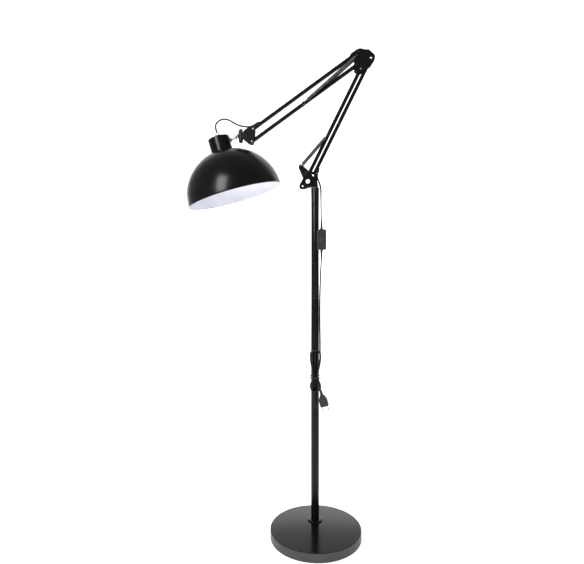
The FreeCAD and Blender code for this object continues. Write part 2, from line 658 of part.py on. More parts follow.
def make_shade():
    shell = shade_cap(SHADE_RADIUS, SHADE_RADIUS - SHADE_WALL, HOLDER_RADIUS + 0.2)
    bead = Part.makeTorus(SHADE_RADIUS + 0.2, 1.7, SHADE_CENTRE - HEAD_AXIS * 0.2, HEAD_AXIS)
    keep("shade_shell", shell.fuse(bead).cut([vent_slot(60 * i) for i in range(6)]))


def make_neck():
    r = NECK_RADIUS
    w = 1.2
    ball = Part.makeSphere(SHADE_RADIUS + 0.05, SHADE_CENTRE)
    neck = turned([(5.2, -NECK_CONE, 0), (r, 0, 2.5), (r, NECK_DEPTH, 0), (r - w, NECK_DEPTH, 0),
                   (r - w, w, 1.4), (5.2, w - NECK_CONE, 0)], NECK_TOP, HEAD_AXIS)
    rod_hole = cylinder(ROD_RADIUS + 0.1, NECK_TOP + HEAD_AXIS * ROD_DEPTH, HEAD_SIDE, 40)
    keep("neck_housing", neck.cut([ball, rod_hole]))
    gland = turned([(2.6, -GLAND_TOP, 0), (4.2, -GLAND_TOP, 1), (4.8, -NECK_CONE - 6, 0.3),
                    (8.0, -NECK_CONE - 5, 1), (8.0, -NECK_CONE - 0.9, 0.5), (5.0, -NECK_CONE - 0.1, 0),
                    (5.0, 2.8, 0.5), (2.6, 2.8, 0)], NECK_TOP, HEAD_AXIS)
    keep("cord_gland", gland)


def make_holder():
    body = turned([(0, 3, 0), (HOLDER_RADIUS, 3, 2), (HOLDER_RADIUS, 53, 1.5), (15.6, 53, 0),
                   (15.6, 26, 0), (0, 26, 0)], NECK_TOP, HEAD_AXIS)
    rod_room = cylinder(9.0, NECK_TOP + HEAD_AXIS * ROD_DEPTH + HEAD_SIDE * 18, HEAD_SIDE, 10)
    keep("holder_body", body.cut(rod_room))
    screw_shell = turned([(14.2, 28, 0), (15.4, 28, 0), (15.4, 51, 0.4), (14.2, 51, 0.4)],
                         NECK_TOP, HEAD_AXIS)
    contact = cylinder(4.0, NECK_TOP + HEAD_AXIS * 26, HEAD_AXIS, 1.8)
    keep("holder_contacts", screw_shell, contact)
    ball = Part.makeSphere(SHADE_RADIUS - SHADE_WALL - FIT, SHADE_CENTRE)
    clamp_ring = ring(25.5, HOLDER_RADIUS + 0.1, NECK_TOP + HEAD_AXIS * 41, HEAD_AXIS, 10)
    keep("holder_ring", clamp_ring.common(ball))


def make_bulb():
    cap = turned([(0, 28, 0), (4, 28, 0.5), (5, 30, 0), (11, 32, 1), (13.3, 34, 0.5), (13.3, 56, 0.5),
                  (0, 56, 0)], NECK_TOP, HEAD_AXIS)
    keep("bulb_cap", cap)
    centre = 107.0
    ball = 30.0
    collar = 14.0
    join_angle = math.radians(38)
    join = Vec(ball * math.sin(join_angle), 0, centre - ball * math.cos(join_angle))
    far = Vec(0, 0, centre + ball)
    side = Vec(ball, 0, centre)
    waist = Vec(collar + 1.2, 0, 68.0)
    low = Vec(collar, 0, 56.0)
    foot = Vec(0, 0, 56.0)
    edges = [Part.LineSegment(foot, low).toShape(), Part.LineSegment(low, waist).toShape(),
             Part.LineSegment(waist, join).toShape(), Part.Arc(join, side, far).toShape(),
             Part.LineSegment(far, foot).toShape()]
    globe = Part.Face(Part.Wire(edges)).revolve(Vec(0, 0, 0), Z_AXIS, 360)
    keep("bulb_globe", placed(globe, NECK_TOP, HEAD_AXIS))


# ---- cords ----
GLAND_EXIT = NECK_TOP - HEAD_AXIS * GLAND_TOP


def half_way(a, b):
    return (a + b) * 0.5


def grommet_mouth(origin, along, out):
    return origin + along * GROMMET_START + out * GROMMET_CORD


def make_arm_cords():
    loop = [GLAND_EXIT, Vec(-313.5, 16, 1281), Vec(-313.0, 15.5, 1294), Vec(-303.5, 14, 1305),
            Vec(-289.0, 12, 1310), Vec(-272.5, 9.5, 1307.5), Vec(-258.0, 7, 1298.5),
            Vec(-243.5, 4.5, 1289), Vec(-226.0, 2.5, 1284), Vec(-208.5, 0.5, 1282),
            Vec(-197.5, 0, 1283.6), grommet_mouth(HEAD_TOP, UPPER * -1, UPPER_OUT)]
    first = half_way(loop[4], loop[5])
    second = half_way(loop[7], loop[8])
    keep("head_cord_tilt", swept(loop[:5] + [first], CORD_RADIUS, "head_cord_tilt"))
    keep("head_cord_swivel", swept([first] + loop[5:8] + [second], CORD_RADIUS, "head_cord_swivel"))
    keep("head_cord_arm", swept([second] + loop[8:], CORD_RADIUS, "head_cord_arm"))

    over = [grommet_mouth(ELBOW_TOP, UPPER, UPPER_OUT), Vec(125.5, 0, 1518.0), Vec(134.5, 0, 1524.6),
            Vec(145.5, 0, 1525.2), Vec(156.0, 0, 1521.0), Vec(166.5, 0, 1517.0),
            Vec(176.5, 0, 1512.6), Vec(183.8, 0, 1504.4), Vec(184.6, 0, 1493.6),
            grommet_mouth(ELBOW_REAR, LOWER * -1, LOWER_OUT) + LOWER * 0.4]
    split = half_way(over[3], over[4])
    keep("elbow_cord_upper", swept(over[:4] + [split], CORD_RADIUS, "elbow_cord_upper"))
    keep("elbow_cord_lower", swept([split] + over[4:], CORD_RADIUS, "elbow_cord_lower"))

    switch_top = SWITCH_CENTRE + Z_AXIS * (SWITCH_SIZE.z / 2 + 0.3)
    down = [grommet_mouth(REAR_PIVOT, LOWER, LOWER_OUT), Vec(5.9, 0, 1133.0), Vec(7.4, 0, 1121.0),
            Vec(11.8, 0, 1110.5), Vec(17.0, 0, 1099.5), Vec(19.8, 0, 1086.0), Vec(20.5, -1, 1062.0),
            Vec(19.8, -5, 1022.0), Vec(19.2, -15, 990.0), switch_top + Z_AXIS * 12, switch_top]
    turn = half_way(down[3], down[4])
    keep("pole_cord_tilt", swept(down[:4] + [turn], CORD_RADIUS, "pole_cord_tilt"))
    keep("pole_cord_swivel", swept([turn] + down[4:], CORD_RADIUS, "pole_cord_swivel"))


def make_switch():
    """In-line switch: two shell halves, two screws from the back and a rocker."""
    size = SWITCH_SIZE
    split = 1.0
    place = FreeCAD.Placement(SWITCH_CENTRE, FreeCAD.Rotation())
    pocket = Part.makeBox(ROCKER_SIZE.x + 1, 11, ROCKER_SIZE.z + 1,
                          Vec(-ROCKER_SIZE.x / 2 - 0.5, -size.y / 2 - 1, -ROCKER_SIZE.z / 2 - 0.5))
    front_half = Part.makeBox(60, 30, 90, Vec(-30, split - 30, -45))
    back_half = Part.makeBox(60, 30, 90, Vec(-30, split, -45))
    body = rounded_box(size, 4.0)
    screws = [cylinder(1.4, Vec(side * 9.5, size.y / 2 - 0.2, side * 22), Y_AXIS * -1, 14)
              for side in (-1, 1)]
    halves = [body.common(front_half).cut([pocket] + screws), body.common(back_half).cut(screws)]
    for shape in halves + screws:
        shape.Placement = place.multiply(shape.Placement)
    keep("switch_shells", *halves)
    keep("switch_screws", *screws)
    half_x = ROCKER_SIZE.x / 2
    half_z = ROCKER_SIZE.z / 2
    pivot = SWITCH_CENTRE + Vec(0, -size.y / 2 + 4.5, 0)
    profile = [(-half_z, 2.0, 1), (-half_z, -4.0, 1), (0, -5.6, 8), (half_z, -7.8, 1),
               (half_z, -1.0, 1), (0, 3.0, 3)]
    wire = rounded_wire(profile, lambda p: pivot + Vec(-half_x, p.y, p.x))
    keep("switch_rocker", Part.Face(wire).extrude(Vec(2 * half_x, 0, 0)))


def make_supply():
    half = HANK_LENGTH / 2
    lobe = HANK_WIDTH / 2
    waist = HANK_WAIST / 2
    tie = TIE_HEIGHT - HANK_CENTRE.z
    shape = [(-lobe, -half, 13), (-waist, tie, 60), (-lobe, half, 13),
             (lobe, half, 13), (waist, tie, 60), (lobe, -half, 13)]
    corners = [(HANK_CENTRE.x + across, HANK_CENTRE.z + up, r) for across, up, r in shape]
    hank = plate(corners, HANK_CENTRE.y - HANK_THICKNESS / 2, HANK_CENTRE.y + HANK_THICKNESS / 2)
    keep("cord_hank", hank)

    lead = [SWITCH_CENTRE - Z_AXIS * (SWITCH_SIZE.z / 2), Vec(18.8, -22.0, 880), Vec(17.8, -18.5, 852),
            Vec(17.4, -13.0, 812), Vec(18.4, -9.0, 762), Vec(17.6, -8.5, 708), Vec(17.6, -10.0, 660),
            Vec(16.2, -13.5, 624), Vec(13.8, -16.5, 600), Vec(11.0, -18.5, 580)]
    tail = [Vec(5.0, -26.0, 519.0), Vec(8.5, -31.0, 493.0), PLUG_TOP - PLUG_AXIS * 10.5, PLUG_TOP]
    keep("supply_cord", swept(lead, CORD_RADIUS, "supply_cord"), swept(tail, CORD_RADIUS, "tail"))

    inner_half = 14.2
    front_y = HANK_CENTRE.y - HANK_THICKNESS / 2 - 5.3
    back_y = POLE_RADIUS + 0.3
    wall = 1.2
    height = 3.5

    def loop(grow):
        corners = [(-inner_half - grow, front_y - grow, 6 + grow),
                   (inner_half + grow, front_y - grow, 6 + grow),
                   (inner_half + grow, back_y + grow, 12 + grow),
                   (-inner_half - grow, back_y + grow, 12 + grow)]
        wire = rounded_wire(corners, lambda p: Vec(p.x, p.y, TIE_HEIGHT - height / 2))
        return Part.Face(wire).extrude(Vec(0, 0, height))

    stub = swept([Vec(-14.5, -24.0, TIE_HEIGHT), Vec(-17.6, -27.0, TIE_HEIGHT - 4),
                  Vec(-18.6, -28.5, TIE_HEIGHT - 10)], 1.2, "twist_tie")
    keep("twist_tie", loop(wall).cut(loop(0)).fuse(stub))


PLUG_LENGTH = 47.0
PLUG_RELIEF = 14.0
PLUG_PIN_LENGTH = 17.0


def make_plug():
    """Flat two pin plug that hangs from the lead by its tapered relief."""
    relief = turned([(0, 0, 0), (3.4, 0, 0.5), (5.2, PLUG_RELIEF, 0), (0, PLUG_RELIEF, 0)],
                    Vec(0, 0, 0), Z_AXIS)
    corners = [(-6.5, PLUG_RELIEF - 1, 3), (6.5, PLUG_RELIEF - 1, 3), (12.5, PLUG_RELIEF + 12, 6),
               (12.5, PLUG_LENGTH, 2), (-12.5, PLUG_LENGTH, 2), (-12.5, PLUG_RELIEF + 12, 6)]
    wire = rounded_wire(corners, lambda p: Vec(p.x, -6.5, p.y))
    body = Part.Face(wire).extrude(Vec(0, 13, 0)).fuse(relief)
    pins = [turned([(0, 0, 0), (2.0, 0, 0), (2.0, PLUG_PIN_LENGTH, 1.5), (0, PLUG_PIN_LENGTH, 0)],
                   Vec(side * 9.0, 0, PLUG_LENGTH), Z_AXIS) for side in (-1, 1)]
    place = FreeCAD.Placement(PLUG_TOP, FreeCAD.Rotation(Z_AXIS, PLUG_AXIS))
    for shape in [body] + pins:
        shape.Placement = place.multiply(shape.Placement)
    keep("plug_body", body)
    keep("plug_pins", *pins)


make_base()
make_pole()
make_bracket()
make_horns()
make_lower_arm()
make_elbow()
make_upper_arm()
make_head_bracket()
make_clamp()
make_rod()
make_shade()
make_neck()
make_holder()
make_bulb()
make_arm_cords()
make_switch()
make_supply()
make_plug()

os.makedirs("parts", exist_ok=True)
for node_name, node_shape in nodes.items():
    if not node_name.startswith("base_"):
        node_shape.translate(Z_AXIS * -LAYOUT_DROP)
    for solid in node_shape.Solids:
        if not solid.isValid() or solid.Volume <= 0:
            print("check", node_name, solid.Volume)
    node_shape.exportStep(os.path.join("parts", node_name + ".step"))
print(len(nodes), "nodes")
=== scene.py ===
"""Adjustable arm floor lamp: the looks. Metres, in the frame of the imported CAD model."""
import json
import math

import bmesh
import bpy
from mathutils import Matrix, Vector


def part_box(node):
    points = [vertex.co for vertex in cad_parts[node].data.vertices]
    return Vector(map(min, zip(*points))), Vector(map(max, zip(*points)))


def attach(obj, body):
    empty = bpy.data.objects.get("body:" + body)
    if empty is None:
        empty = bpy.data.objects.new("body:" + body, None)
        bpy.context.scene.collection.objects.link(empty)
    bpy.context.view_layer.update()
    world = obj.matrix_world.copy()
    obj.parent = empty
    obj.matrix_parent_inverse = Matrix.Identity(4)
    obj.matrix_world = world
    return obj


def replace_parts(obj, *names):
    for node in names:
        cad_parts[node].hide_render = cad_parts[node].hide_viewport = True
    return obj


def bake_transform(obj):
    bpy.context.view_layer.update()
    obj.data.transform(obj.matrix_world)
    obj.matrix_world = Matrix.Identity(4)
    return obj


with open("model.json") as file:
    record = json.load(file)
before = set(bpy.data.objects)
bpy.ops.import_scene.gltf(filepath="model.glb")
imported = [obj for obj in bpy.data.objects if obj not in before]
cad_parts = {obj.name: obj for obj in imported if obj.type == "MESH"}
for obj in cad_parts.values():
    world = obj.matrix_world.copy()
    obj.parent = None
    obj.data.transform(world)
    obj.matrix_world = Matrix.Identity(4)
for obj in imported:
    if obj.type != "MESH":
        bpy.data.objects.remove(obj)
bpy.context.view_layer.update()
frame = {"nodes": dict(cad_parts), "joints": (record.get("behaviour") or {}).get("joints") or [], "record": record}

NODES = frame["nodes"]
JOINTS = {joint["name"]: joint for joint in frame["joints"]}
MM = 0.001
LAYOUT_DROP = 27.0
BASE_MIDDLE = Vector((0, -44, 0)) * MM
X = Vector((1, 0, 0))
Y = Vector((0, 1, 0))
Z = Vector((0, 0, 1))


def at(x, y, z):
    """A point given in millimetres, as part.py lays it out: from a level under the floor."""
    return Vector((x, y, z - LAYOUT_DROP)) * MM


def pivot(name):
    return Vector(JOINTS[name]["pos_m"])


# ---- camera: level, with its frame shifted down ----
CAMERA_PLACE = (-0.072, -1.57, 0.844)
CAMERA_LENS = 30.97
CAMERA_SHIFT = -0.0404
camera_data = bpy.data.cameras.new("camera")
camera_data.lens = CAMERA_LENS
camera_data.sensor_width = 36.0
camera_data.shift_y = CAMERA_SHIFT
camera_data.clip_end = 60.0
camera = bpy.data.objects.new("camera", camera_data)
camera.location = CAMERA_PLACE
camera.rotation_euler = (math.radians(90), 0, 0)
bpy.context.scene.collection.objects.link(camera)
bpy.context.scene.camera = camera

# ---- layout, as in part.py ----
LOWER_LEAN = math.radians(26.2)
UPPER_DROP = math.radians(36.2)
HEAD_LEAN = math.radians(16.0)
ARM = 408.0 * MM
LOWER = Vector((math.sin(LOWER_LEAN), 0, math.cos(LOWER_LEAN)))
LOWER_OUT = Vector((math.cos(LOWER_LEAN), 0, -math.sin(LOWER_LEAN)))
UPPER = Vector((-math.cos(UPPER_DROP), 0, -math.sin(UPPER_DROP)))
UPPER_OUT = Vector((-math.sin(UPPER_DROP), 0, math.cos(UPPER_DROP)))
REAR_PIVOT = pivot("lower_arm_tilt")
ELBOW_REAR = pivot("elbow_level")
ELBOW_TOP = pivot("upper_arm_tilt")
HEAD_TOP = pivot("head_level")
CLAMP = pivot("head_tilt")
HEAD_AXIS = Vector((math.sin(HEAD_LEAN), 0, -math.cos(HEAD_LEAN)))
HEAD_SIDE = Vector((math.cos(HEAD_LEAN), 0, math.sin(HEAD_LEAN)))
ROD_REACH = 60 * MM
ROD_DEPTH = 15 * MM
NECK_TOP = CLAMP - HEAD_SIDE * ROD_REACH - HEAD_AXIS * ROD_DEPTH + Y * 16 * MM
CORD_WIDE = 5.0 * MM
NECK_RADIUS = 34.0
BASE_RADIUS = 137.5
BASE_HEIGHT = 28.0
POLE_RADIUS = 12.5
ROD_RADIUS = 3.5 * MM


# ---- mesh helpers ----
def new_object(name, verts, faces):
    mesh = bpy.data.meshes.new(name)
    mesh.from_pydata([tuple(v) for v in verts], [], faces)
    mesh.update()
    work = bmesh.new()
    work.from_mesh(mesh)
    bmesh.ops.recalc_face_normals(work, faces=work.faces)
    work.to_mesh(mesh)
    work.free()
    mesh.shade_smooth()
    piece = bpy.data.objects.new(name, mesh)
    bpy.context.scene.collection.objects.link(piece)
    return piece


def dress(piece, material, body=None, stands_for=()):
    piece.data.materials.append(MATERIALS[material])
    if body:
        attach(piece, body)
    if stands_for:
        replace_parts(piece, *stands_for)
    return piece


def soften(piece, width):
    """Round a piece's sharp edges."""
    bevel = piece.modifiers.new("edge", "BEVEL")
    bevel.width = width
    bevel.segments = 2
    bevel.limit_method = "ANGLE"
    bevel.angle_limit = math.radians(30)
    bevel.harden_normals = True


def rounded(profile, steps=5):
    """Corners (radius, height, rounding) in mm as a list of 2D points in metres, arcs included."""
    points = []
    count = len(profile)
    for i, (r, h, rounding) in enumerate(profile):
        here = Vector((r, h))
        if rounding <= 0:
            points.append(here * MM)
            continue
        back = (Vector(profile[i - 1][:2]) - here).normalized()
        ahead = (Vector(profile[(i + 1) % count][:2]) - here).normalized()
        half = back.angle(ahead) / 2
        run = rounding / math.tan(half)
        centre = here + (back + ahead).normalized() * (rounding / math.sin(half))
        first = here + back * run - centre
        last = here + ahead * run - centre
        turn = first.angle_signed(last)
        for step in range(steps + 1):
            angle = -turn * step / steps
            spun = Vector((first.x * math.cos(angle) - first.y * math.sin(angle),
                           first.x * math.sin(angle) + first.y * math.cos(angle)))
            points.append((centre + spun) * MM)
    return points


def side_axes(axis):
    axis = axis.normalized()
    first = Y.copy() if abs(axis.dot(Y)) < 0.9 else X.copy()
    first = (first - axis * first.dot(axis)).normalized()
    return first, axis.cross(first)


def lathe(name, points, base, axis, sides=96, wave=None, skip=None, closed=True):
    """Surface turned about axis from 2D points (radius, height); wave(point, angle) may change a radius
    and skip(ring, side) leaves a face out."""
    axis = axis.normalized()
    across, up = side_axes(axis)
    verts = []
    rings = []
    for r, h in points:
        if r < 1e-7:
            rings.append([len(verts)] * sides)
            verts.append(base + axis * h)
            continue
        start = len(verts)
        for i in range(sides):
            angle = 2 * math.pi * i / sides
            reach = wave(r, h, angle) if wave else r
            verts.append(base + axis * h + (across * math.cos(angle) + up * math.sin(angle)) * reach)
        rings.append(list(range(start, start + sides)))
    faces = []
    last = len(rings) if closed else len(rings) - 1
    for k in range(last):
        one = rings[k]
        two = rings[(k + 1) % len(rings)]
        if one[0] == one[1] and two[0] == two[1]:
            continue
        for i in range(sides):
            j = (i + 1) % sides
            if skip and skip(k, i):
                continue
            corner = [one[i], one[j], two[j], two[i]]
            faces.append(tuple(dict.fromkeys(corner)))
    return new_object(name, verts, faces)


def tube(name, points, radius, sides=16, caps=True):
    """Round tube along points; radius is a number or a function of (part of the length, metres along)."""
    points = [Vector(p) for p in points]
    lengths = [0.0]
    for a, b in zip(points, points[1:]):
        lengths.append(lengths[-1] + (b - a).length)
    tangent = (points[1] - points[0]).normalized()
    across = side_axes(tangent)[0]
    verts = []
    for k, point in enumerate(points):
        ahead = points[min(k + 1, len(points) - 1)]
        behind = points[max(k - 1, 0)]
        tangent = (ahead - behind).normalized()
        across = (across - tangent * across.dot(tangent)).normalized()
        up = tangent.cross(across)
        r = radius(lengths[k] / lengths[-1], lengths[k]) if callable(radius) else radius
        for i in range(sides):
            angle = 2 * math.pi * i / sides
            verts.append(point + (across * math.cos(angle) + up * math.sin(angle)) * r)
    faces = []
    for k in range(len(points) - 1):
        for i in range(sides):
            j = (i + 1) % sides
            faces.append((k * sides + i, k * sides + j, (k + 1) * sides + j, (k + 1) * sides + i))
    if caps:
        faces.append(tuple(range(sides)))
        last = (len(points) - 1) * sides
        faces.append(tuple(range(last, last + sides)))
    return new_object(name, verts, faces)


def nurbs(name, route):
    """Curve object whose control points are the route's points."""
    curve = bpy.data.curves.new(name, "CURVE")
    curve.dimensions = "3D"
    curve.resolution_u = 10
    spline = curve.splines.new("NURBS")
    spline.points.add(len(route) - 1)
    for point, place in zip(spline.points, route):
        point.co = (place[0], place[1], place[2], 1.0)
    spline.order_u = 3
    spline.use_endpoint_u = True
    piece = bpy.data.objects.new(name, curve)
    bpy.context.scene.collection.objects.link(piece)
    return piece


def curve_line(curve_piece):
    """Points along a curve object that has no bevel, from its start to its end."""
    bpy.context.view_layer.update()
    graph = bpy.context.evaluated_depsgraph_get()
    mesh = bpy.data.meshes.new_from_object(curve_piece.evaluated_get(graph))
    line = [v.co.copy() for v in mesh.vertices]
    bpy.data.meshes.remove(mesh)
    return line


def spline_line(route):
    """Points read from the NURBS spline of a route."""
    piece = nurbs("route", route)
    line = curve_line(piece)
    bpy.data.curves.remove(piece.data)
    return line


def line_length(line):
    return sum((b - a).length for a, b in zip(line, line[1:]))


def first_part(line, length):
    """The start of a line, up to a length."""
    part = [line[0]]
    gone = 0.0
    for a, b in zip(line, line[1:]):
        step = (b - a).length
        if gone + step >= length:
            part.append(a + (b - a) * ((length - gone) / step))
            return part
        part.append(b)
        gone += step
    return part


def resampled(line, step):
    """Evenly spaced points along a line."""
    total = line_length(line)
    count = max(2, int(round(total / step)))
    points = [line[0].copy()]
    index = 0
    gone = 0.0
    for k in range(1, count):
        target = total * k / count
        while gone + (line[index + 1] - line[index]).length < target:
            gone += (line[index + 1] - line[index]).length
            index += 1
        run = line[index + 1] - line[index]
        points.append(line[index] + run * ((target - gone) / run.length))
    points.append(line[-1].copy())
    return points


# ---- materials ----
def add_node(tree, kind, **values):
    node = tree.nodes.new(kind)
    for key, value in values.items():
        setattr(node, key, value)
    return node


def finish_of(name, dark, light, rough, grain, relief, blotch, metallic=0.0, specular=0.5,
              subsurface=0.0):
    """Procedural finish: colour drifts between dark and light in soft blotches, roughness between two
    values, and a fine grain gives relief, in millimetres."""
    material = bpy.data.materials.new(name)
    material.use_nodes = True
    tree = material.node_tree
    shader = tree.nodes["Principled BSDF"]
    where = add_node(tree, "ShaderNodeTexCoord")
    patches = add_node(tree, "ShaderNodeTexNoise")
    patches.inputs["Scale"].default_value = blotch
    patches.inputs["Detail"].default_value = 5.0
    tree.links.new(where.outputs["Object"], patches.inputs["Vector"])
    fine = add_node(tree, "ShaderNodeTexNoise")
    fine.inputs["Scale"].default_value = grain
    fine.inputs["Detail"].default_value = 3.0
    tree.links.new(where.outputs["Object"], fine.inputs["Vector"])
    ramp = add_node(tree, "ShaderNodeValToRGB")
    ramp.color_ramp.elements[0].position = 0.35
    ramp.color_ramp.elements[0].color = (*dark, 1)
    ramp.color_ramp.elements[1].position = 0.68
    ramp.color_ramp.elements[1].color = (*light, 1)
    tree.links.new(patches.outputs["Fac"], ramp.inputs["Fac"])
    tree.links.new(ramp.outputs["Color"], shader.inputs["Base Color"])
    spread = add_node(tree, "ShaderNodeMapRange")
    spread.inputs["From Min"].default_value = 0.3
    spread.inputs["From Max"].default_value = 0.7
    spread.inputs["To Min"].default_value = rough[0]
    spread.inputs["To Max"].default_value = rough[1]
    tree.links.new(fine.outputs["Fac"], spread.inputs["Value"])
    tree.links.new(spread.outputs["Result"], shader.inputs["Roughness"])
    bump = add_node(tree, "ShaderNodeBump")
    bump.inputs["Strength"].default_value = 0.6
    bump.inputs["Distance"].default_value = relief * MM
    tree.links.new(fine.outputs["Fac"], bump.inputs["Height"])
    tree.links.new(bump.outputs["Normal"], shader.inputs["Normal"])
    shader.inputs["Metallic"].default_value = metallic
    shader.inputs["Specular IOR Level"].default_value = specular
    shader.inputs["Subsurface Weight"].default_value = subsurface
    shader.inputs["IOR"].default_value = 1.5
    return material


MATERIALS = {
    "black_enamel": finish_of("black_enamel", (0.0028, 0.0028, 0.0031), (0.0046, 0.0046, 0.0050),
                              (0.21, 0.27), grain=420, relief=0.008, blotch=30, specular=0.16),
    "base_enamel": finish_of("base_enamel", (0.0030, 0.0030, 0.0033), (0.0050, 0.0050, 0.0055),
                             (0.14, 0.19), grain=420, relief=0.004, blotch=18, specular=0.11),
    # lighter grey for the base's side: painted light standing in for the floor's light reflected in it
    "painted_floor_light_enamel": finish_of("painted_floor_light_enamel", (0.035, 0.035, 0.037), (0.046, 0.046, 0.048),
                              (0.42, 0.52), grain=420, relief=0.015, blotch=18, specular=0.30),
    "white_enamel": finish_of("white_enamel", (0.74, 0.74, 0.81), (0.80, 0.80, 0.87),
                              (0.2, 0.3), grain=420, relief=0.010, blotch=25, specular=0.6),
    # chrome, coloured darker than bright chrome: partly its own tone, partly painted shade standing in for the
    # dark studio it reflects
    "chromed_steel": finish_of("chromed_steel", (0.42, 0.43, 0.44), (0.56, 0.56, 0.57),
                               (0.10, 0.20), metallic=1.0, grain=1500, relief=0.004, blotch=80),
    "zinc_steel": finish_of("zinc_steel", (0.30, 0.31, 0.32), (0.50, 0.51, 0.52),
                            (0.24, 0.40), metallic=1.0, grain=1800, relief=0.012, blotch=160),
    "bright_zinc": finish_of("bright_zinc", (0.72, 0.73, 0.74), (0.86, 0.86, 0.86),
                             (0.42, 0.55), metallic=1.0, grain=1800, relief=0.02, blotch=160),
    "spring_steel": finish_of("spring_steel", (0.075, 0.075, 0.08), (0.17, 0.17, 0.175),
                              (0.26, 0.42), metallic=1.0, grain=1600, relief=0.01, blotch=120),
    "grey_iron": finish_of("grey_iron", (0.055, 0.053, 0.05), (0.13, 0.125, 0.12),
                           (0.6, 0.85), metallic=0.7, grain=600, relief=0.25, blotch=60),
    "foot_rubber": finish_of("foot_rubber", (0.010, 0.010, 0.010), (0.022, 0.022, 0.021),
                             (0.75, 0.92), grain=900, relief=0.08, blotch=90, specular=0.3),
    "black_plastic": finish_of("black_plastic", (0.009, 0.009, 0.0095), (0.016, 0.016, 0.017),
                               (0.42, 0.6), grain=1400, relief=0.05, blotch=70, specular=0.3),
    "gloss_plastic": finish_of("gloss_plastic", (0.008, 0.008, 0.0085), (0.013, 0.013, 0.014),
                               (0.2, 0.32), grain=900, relief=0.012, blotch=70, specular=0.5),
    "cord_pvc": finish_of("cord_pvc", (0.006, 0.006, 0.0063), (0.010, 0.010, 0.0105),
                          (0.36, 0.48), grain=1100, relief=0.03, blotch=60, specular=0.18),
    "brass": finish_of("brass", (0.52, 0.36, 0.14), (0.76, 0.57, 0.27),
                       (0.18, 0.34), metallic=1.0, grain=1500, relief=0.01, blotch=150),
    "aluminium": finish_of("aluminium", (0.58, 0.59, 0.6), (0.78, 0.78, 0.79),
                           (0.22, 0.38), metallic=1.0, grain=1500, relief=0.01, blotch=150),
    "frosted_glass": finish_of("frosted_glass", (0.84, 0.86, 0.87), (0.92, 0.93, 0.94),
                               (0.32, 0.45), grain=2200, relief=0.02, blotch=60, subsurface=0.25),
}


# ---- cords ----
def hank_route():
    """Folds of the supply lead: six strands in three layers, pinched in at the tie, and the tail."""
    middle = 0.3
    lobe = 15.4
    high = 573.0
    low = 477.0
    layers = (-16.9, -21.5, -26.1)
    front = -30.8
    steps = 8
    slice_of_turn = math.pi / steps
    fold = lobe / math.cos(slice_of_turn / 2)
    sides = [(14.8, 557.0), (11.4, 538.0), (7.4, 520.5), (6.2, 505.0), (10.0, 493.0), (14.6, 483.0)]

    def strand(side, y, going_down):
        places = sides if going_down else sides[::-1]
        return [at(middle + side * x, y, z) for x, z in places]

    def turn(centre_z, start_side, y_from, y_to, downward):
        points = []
        for k in range(steps):
            angle = slice_of_turn * (k + 0.5)
            y = y_from + (y_to - y_from) * (k + 0.5) / steps
            points.append(at(middle + start_side * fold * math.cos(angle), y,
                             centre_z + (-1 if downward else 1) * fold * math.sin(angle)))
        return points

    route = [at(14.6, -16.9, 577)]
    for number, y in enumerate(layers):
        route += strand(1, y, True)
        route += turn(low, 1, y, y, True)
        route += strand(-1, y, False)
        after = layers[number + 1] if number < 2 else front
        route += turn(high, -1, y, after, False)
    return route + [at(13.0, front, 556), at(10.2, front, 538), at(6.6, front, 521),
                    at(5.4, front, 506), at(8.5, -31.5, 492)]


PLUG_TOP = at(16.0, -33.5, 464.5)
PLUG_AXIS = Vector((0.26, -0.03, -0.965)).normalized()
switch_low, switch_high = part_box("switch_shells")
switch_middle = (switch_low + switch_high) / 2
SWITCH_FOOT = Vector((switch_middle.x, switch_middle.y, switch_low.z))
SWITCH_HEAD = Vector((switch_middle.x, switch_middle.y, switch_high.z + 0.3 * MM))

supply_route = [SWITCH_FOOT, at(18.8, -22, 880), at(17.6, -18.5, 852), at(16.2, -13, 812),
                at(14.8, -10.5, 762), at(14.3, -10.5, 708), at(14.3, -11.5, 660), at(14.6, -14, 624),
                at(14.6, -16.5, 600)] + hank_route() + [PLUG_TOP - PLUG_AXIS * 10.5 * MM, PLUG_TOP]
supply_line = spline_line(supply_route)
supply = nurbs("supply_lead", supply_route)
supply.data.bevel_depth = CORD_WIDE / 2
supply.data.bevel_resolution = 5
supply.data.use_fill_caps = True
dress(supply, "cord_pvc", "stand", ["supply_cord", "cord_hank"])


def mouth(origin, along, out):
    """Where the lead comes out of a tube's grommet."""
    return origin + along * 16.0 * MM + out * 8.2 * MM


def middle_of(a, b):
    return (a + b) * 0.5


def joint_cord(node, route):
    """Stretch of lead over a joint, drawn as a tube along its route."""
    line = resampled(spline_line(route), 1.5 * MM)
    piece = tube(node + "_lead", line, CORD_WIDE / 2)
    piece.data.materials.append(MATERIALS["cord_pvc"])
    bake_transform(piece)
    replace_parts(piece, node)
    return line


gland_exit = NECK_TOP - HEAD_AXIS * 17.0 * MM
head_loop = [gland_exit, at(-313.5, 16, 1281), at(-313, 15.5, 1294), at(-303.5, 14, 1305),
             at(-289, 12, 1310), at(-272.5, 9.5, 1307.5), at(-258, 7, 1298.5), at(-243.5, 4.5, 1289),
             at(-226, 2.5, 1284), at(-208.5, 0.5, 1282), at(-197.5, 0, 1283.6),
             mouth(HEAD_TOP, UPPER * -1, UPPER_OUT)]
loop_first = middle_of(head_loop[4], head_loop[5])
loop_second = middle_of(head_loop[7], head_loop[8])
joint_cord("head_cord_tilt", head_loop[:5] + [loop_first])
joint_cord("head_cord_swivel", [loop_first] + head_loop[5:8] + [loop_second])
joint_cord("head_cord_arm", [loop_second] + head_loop[8:])

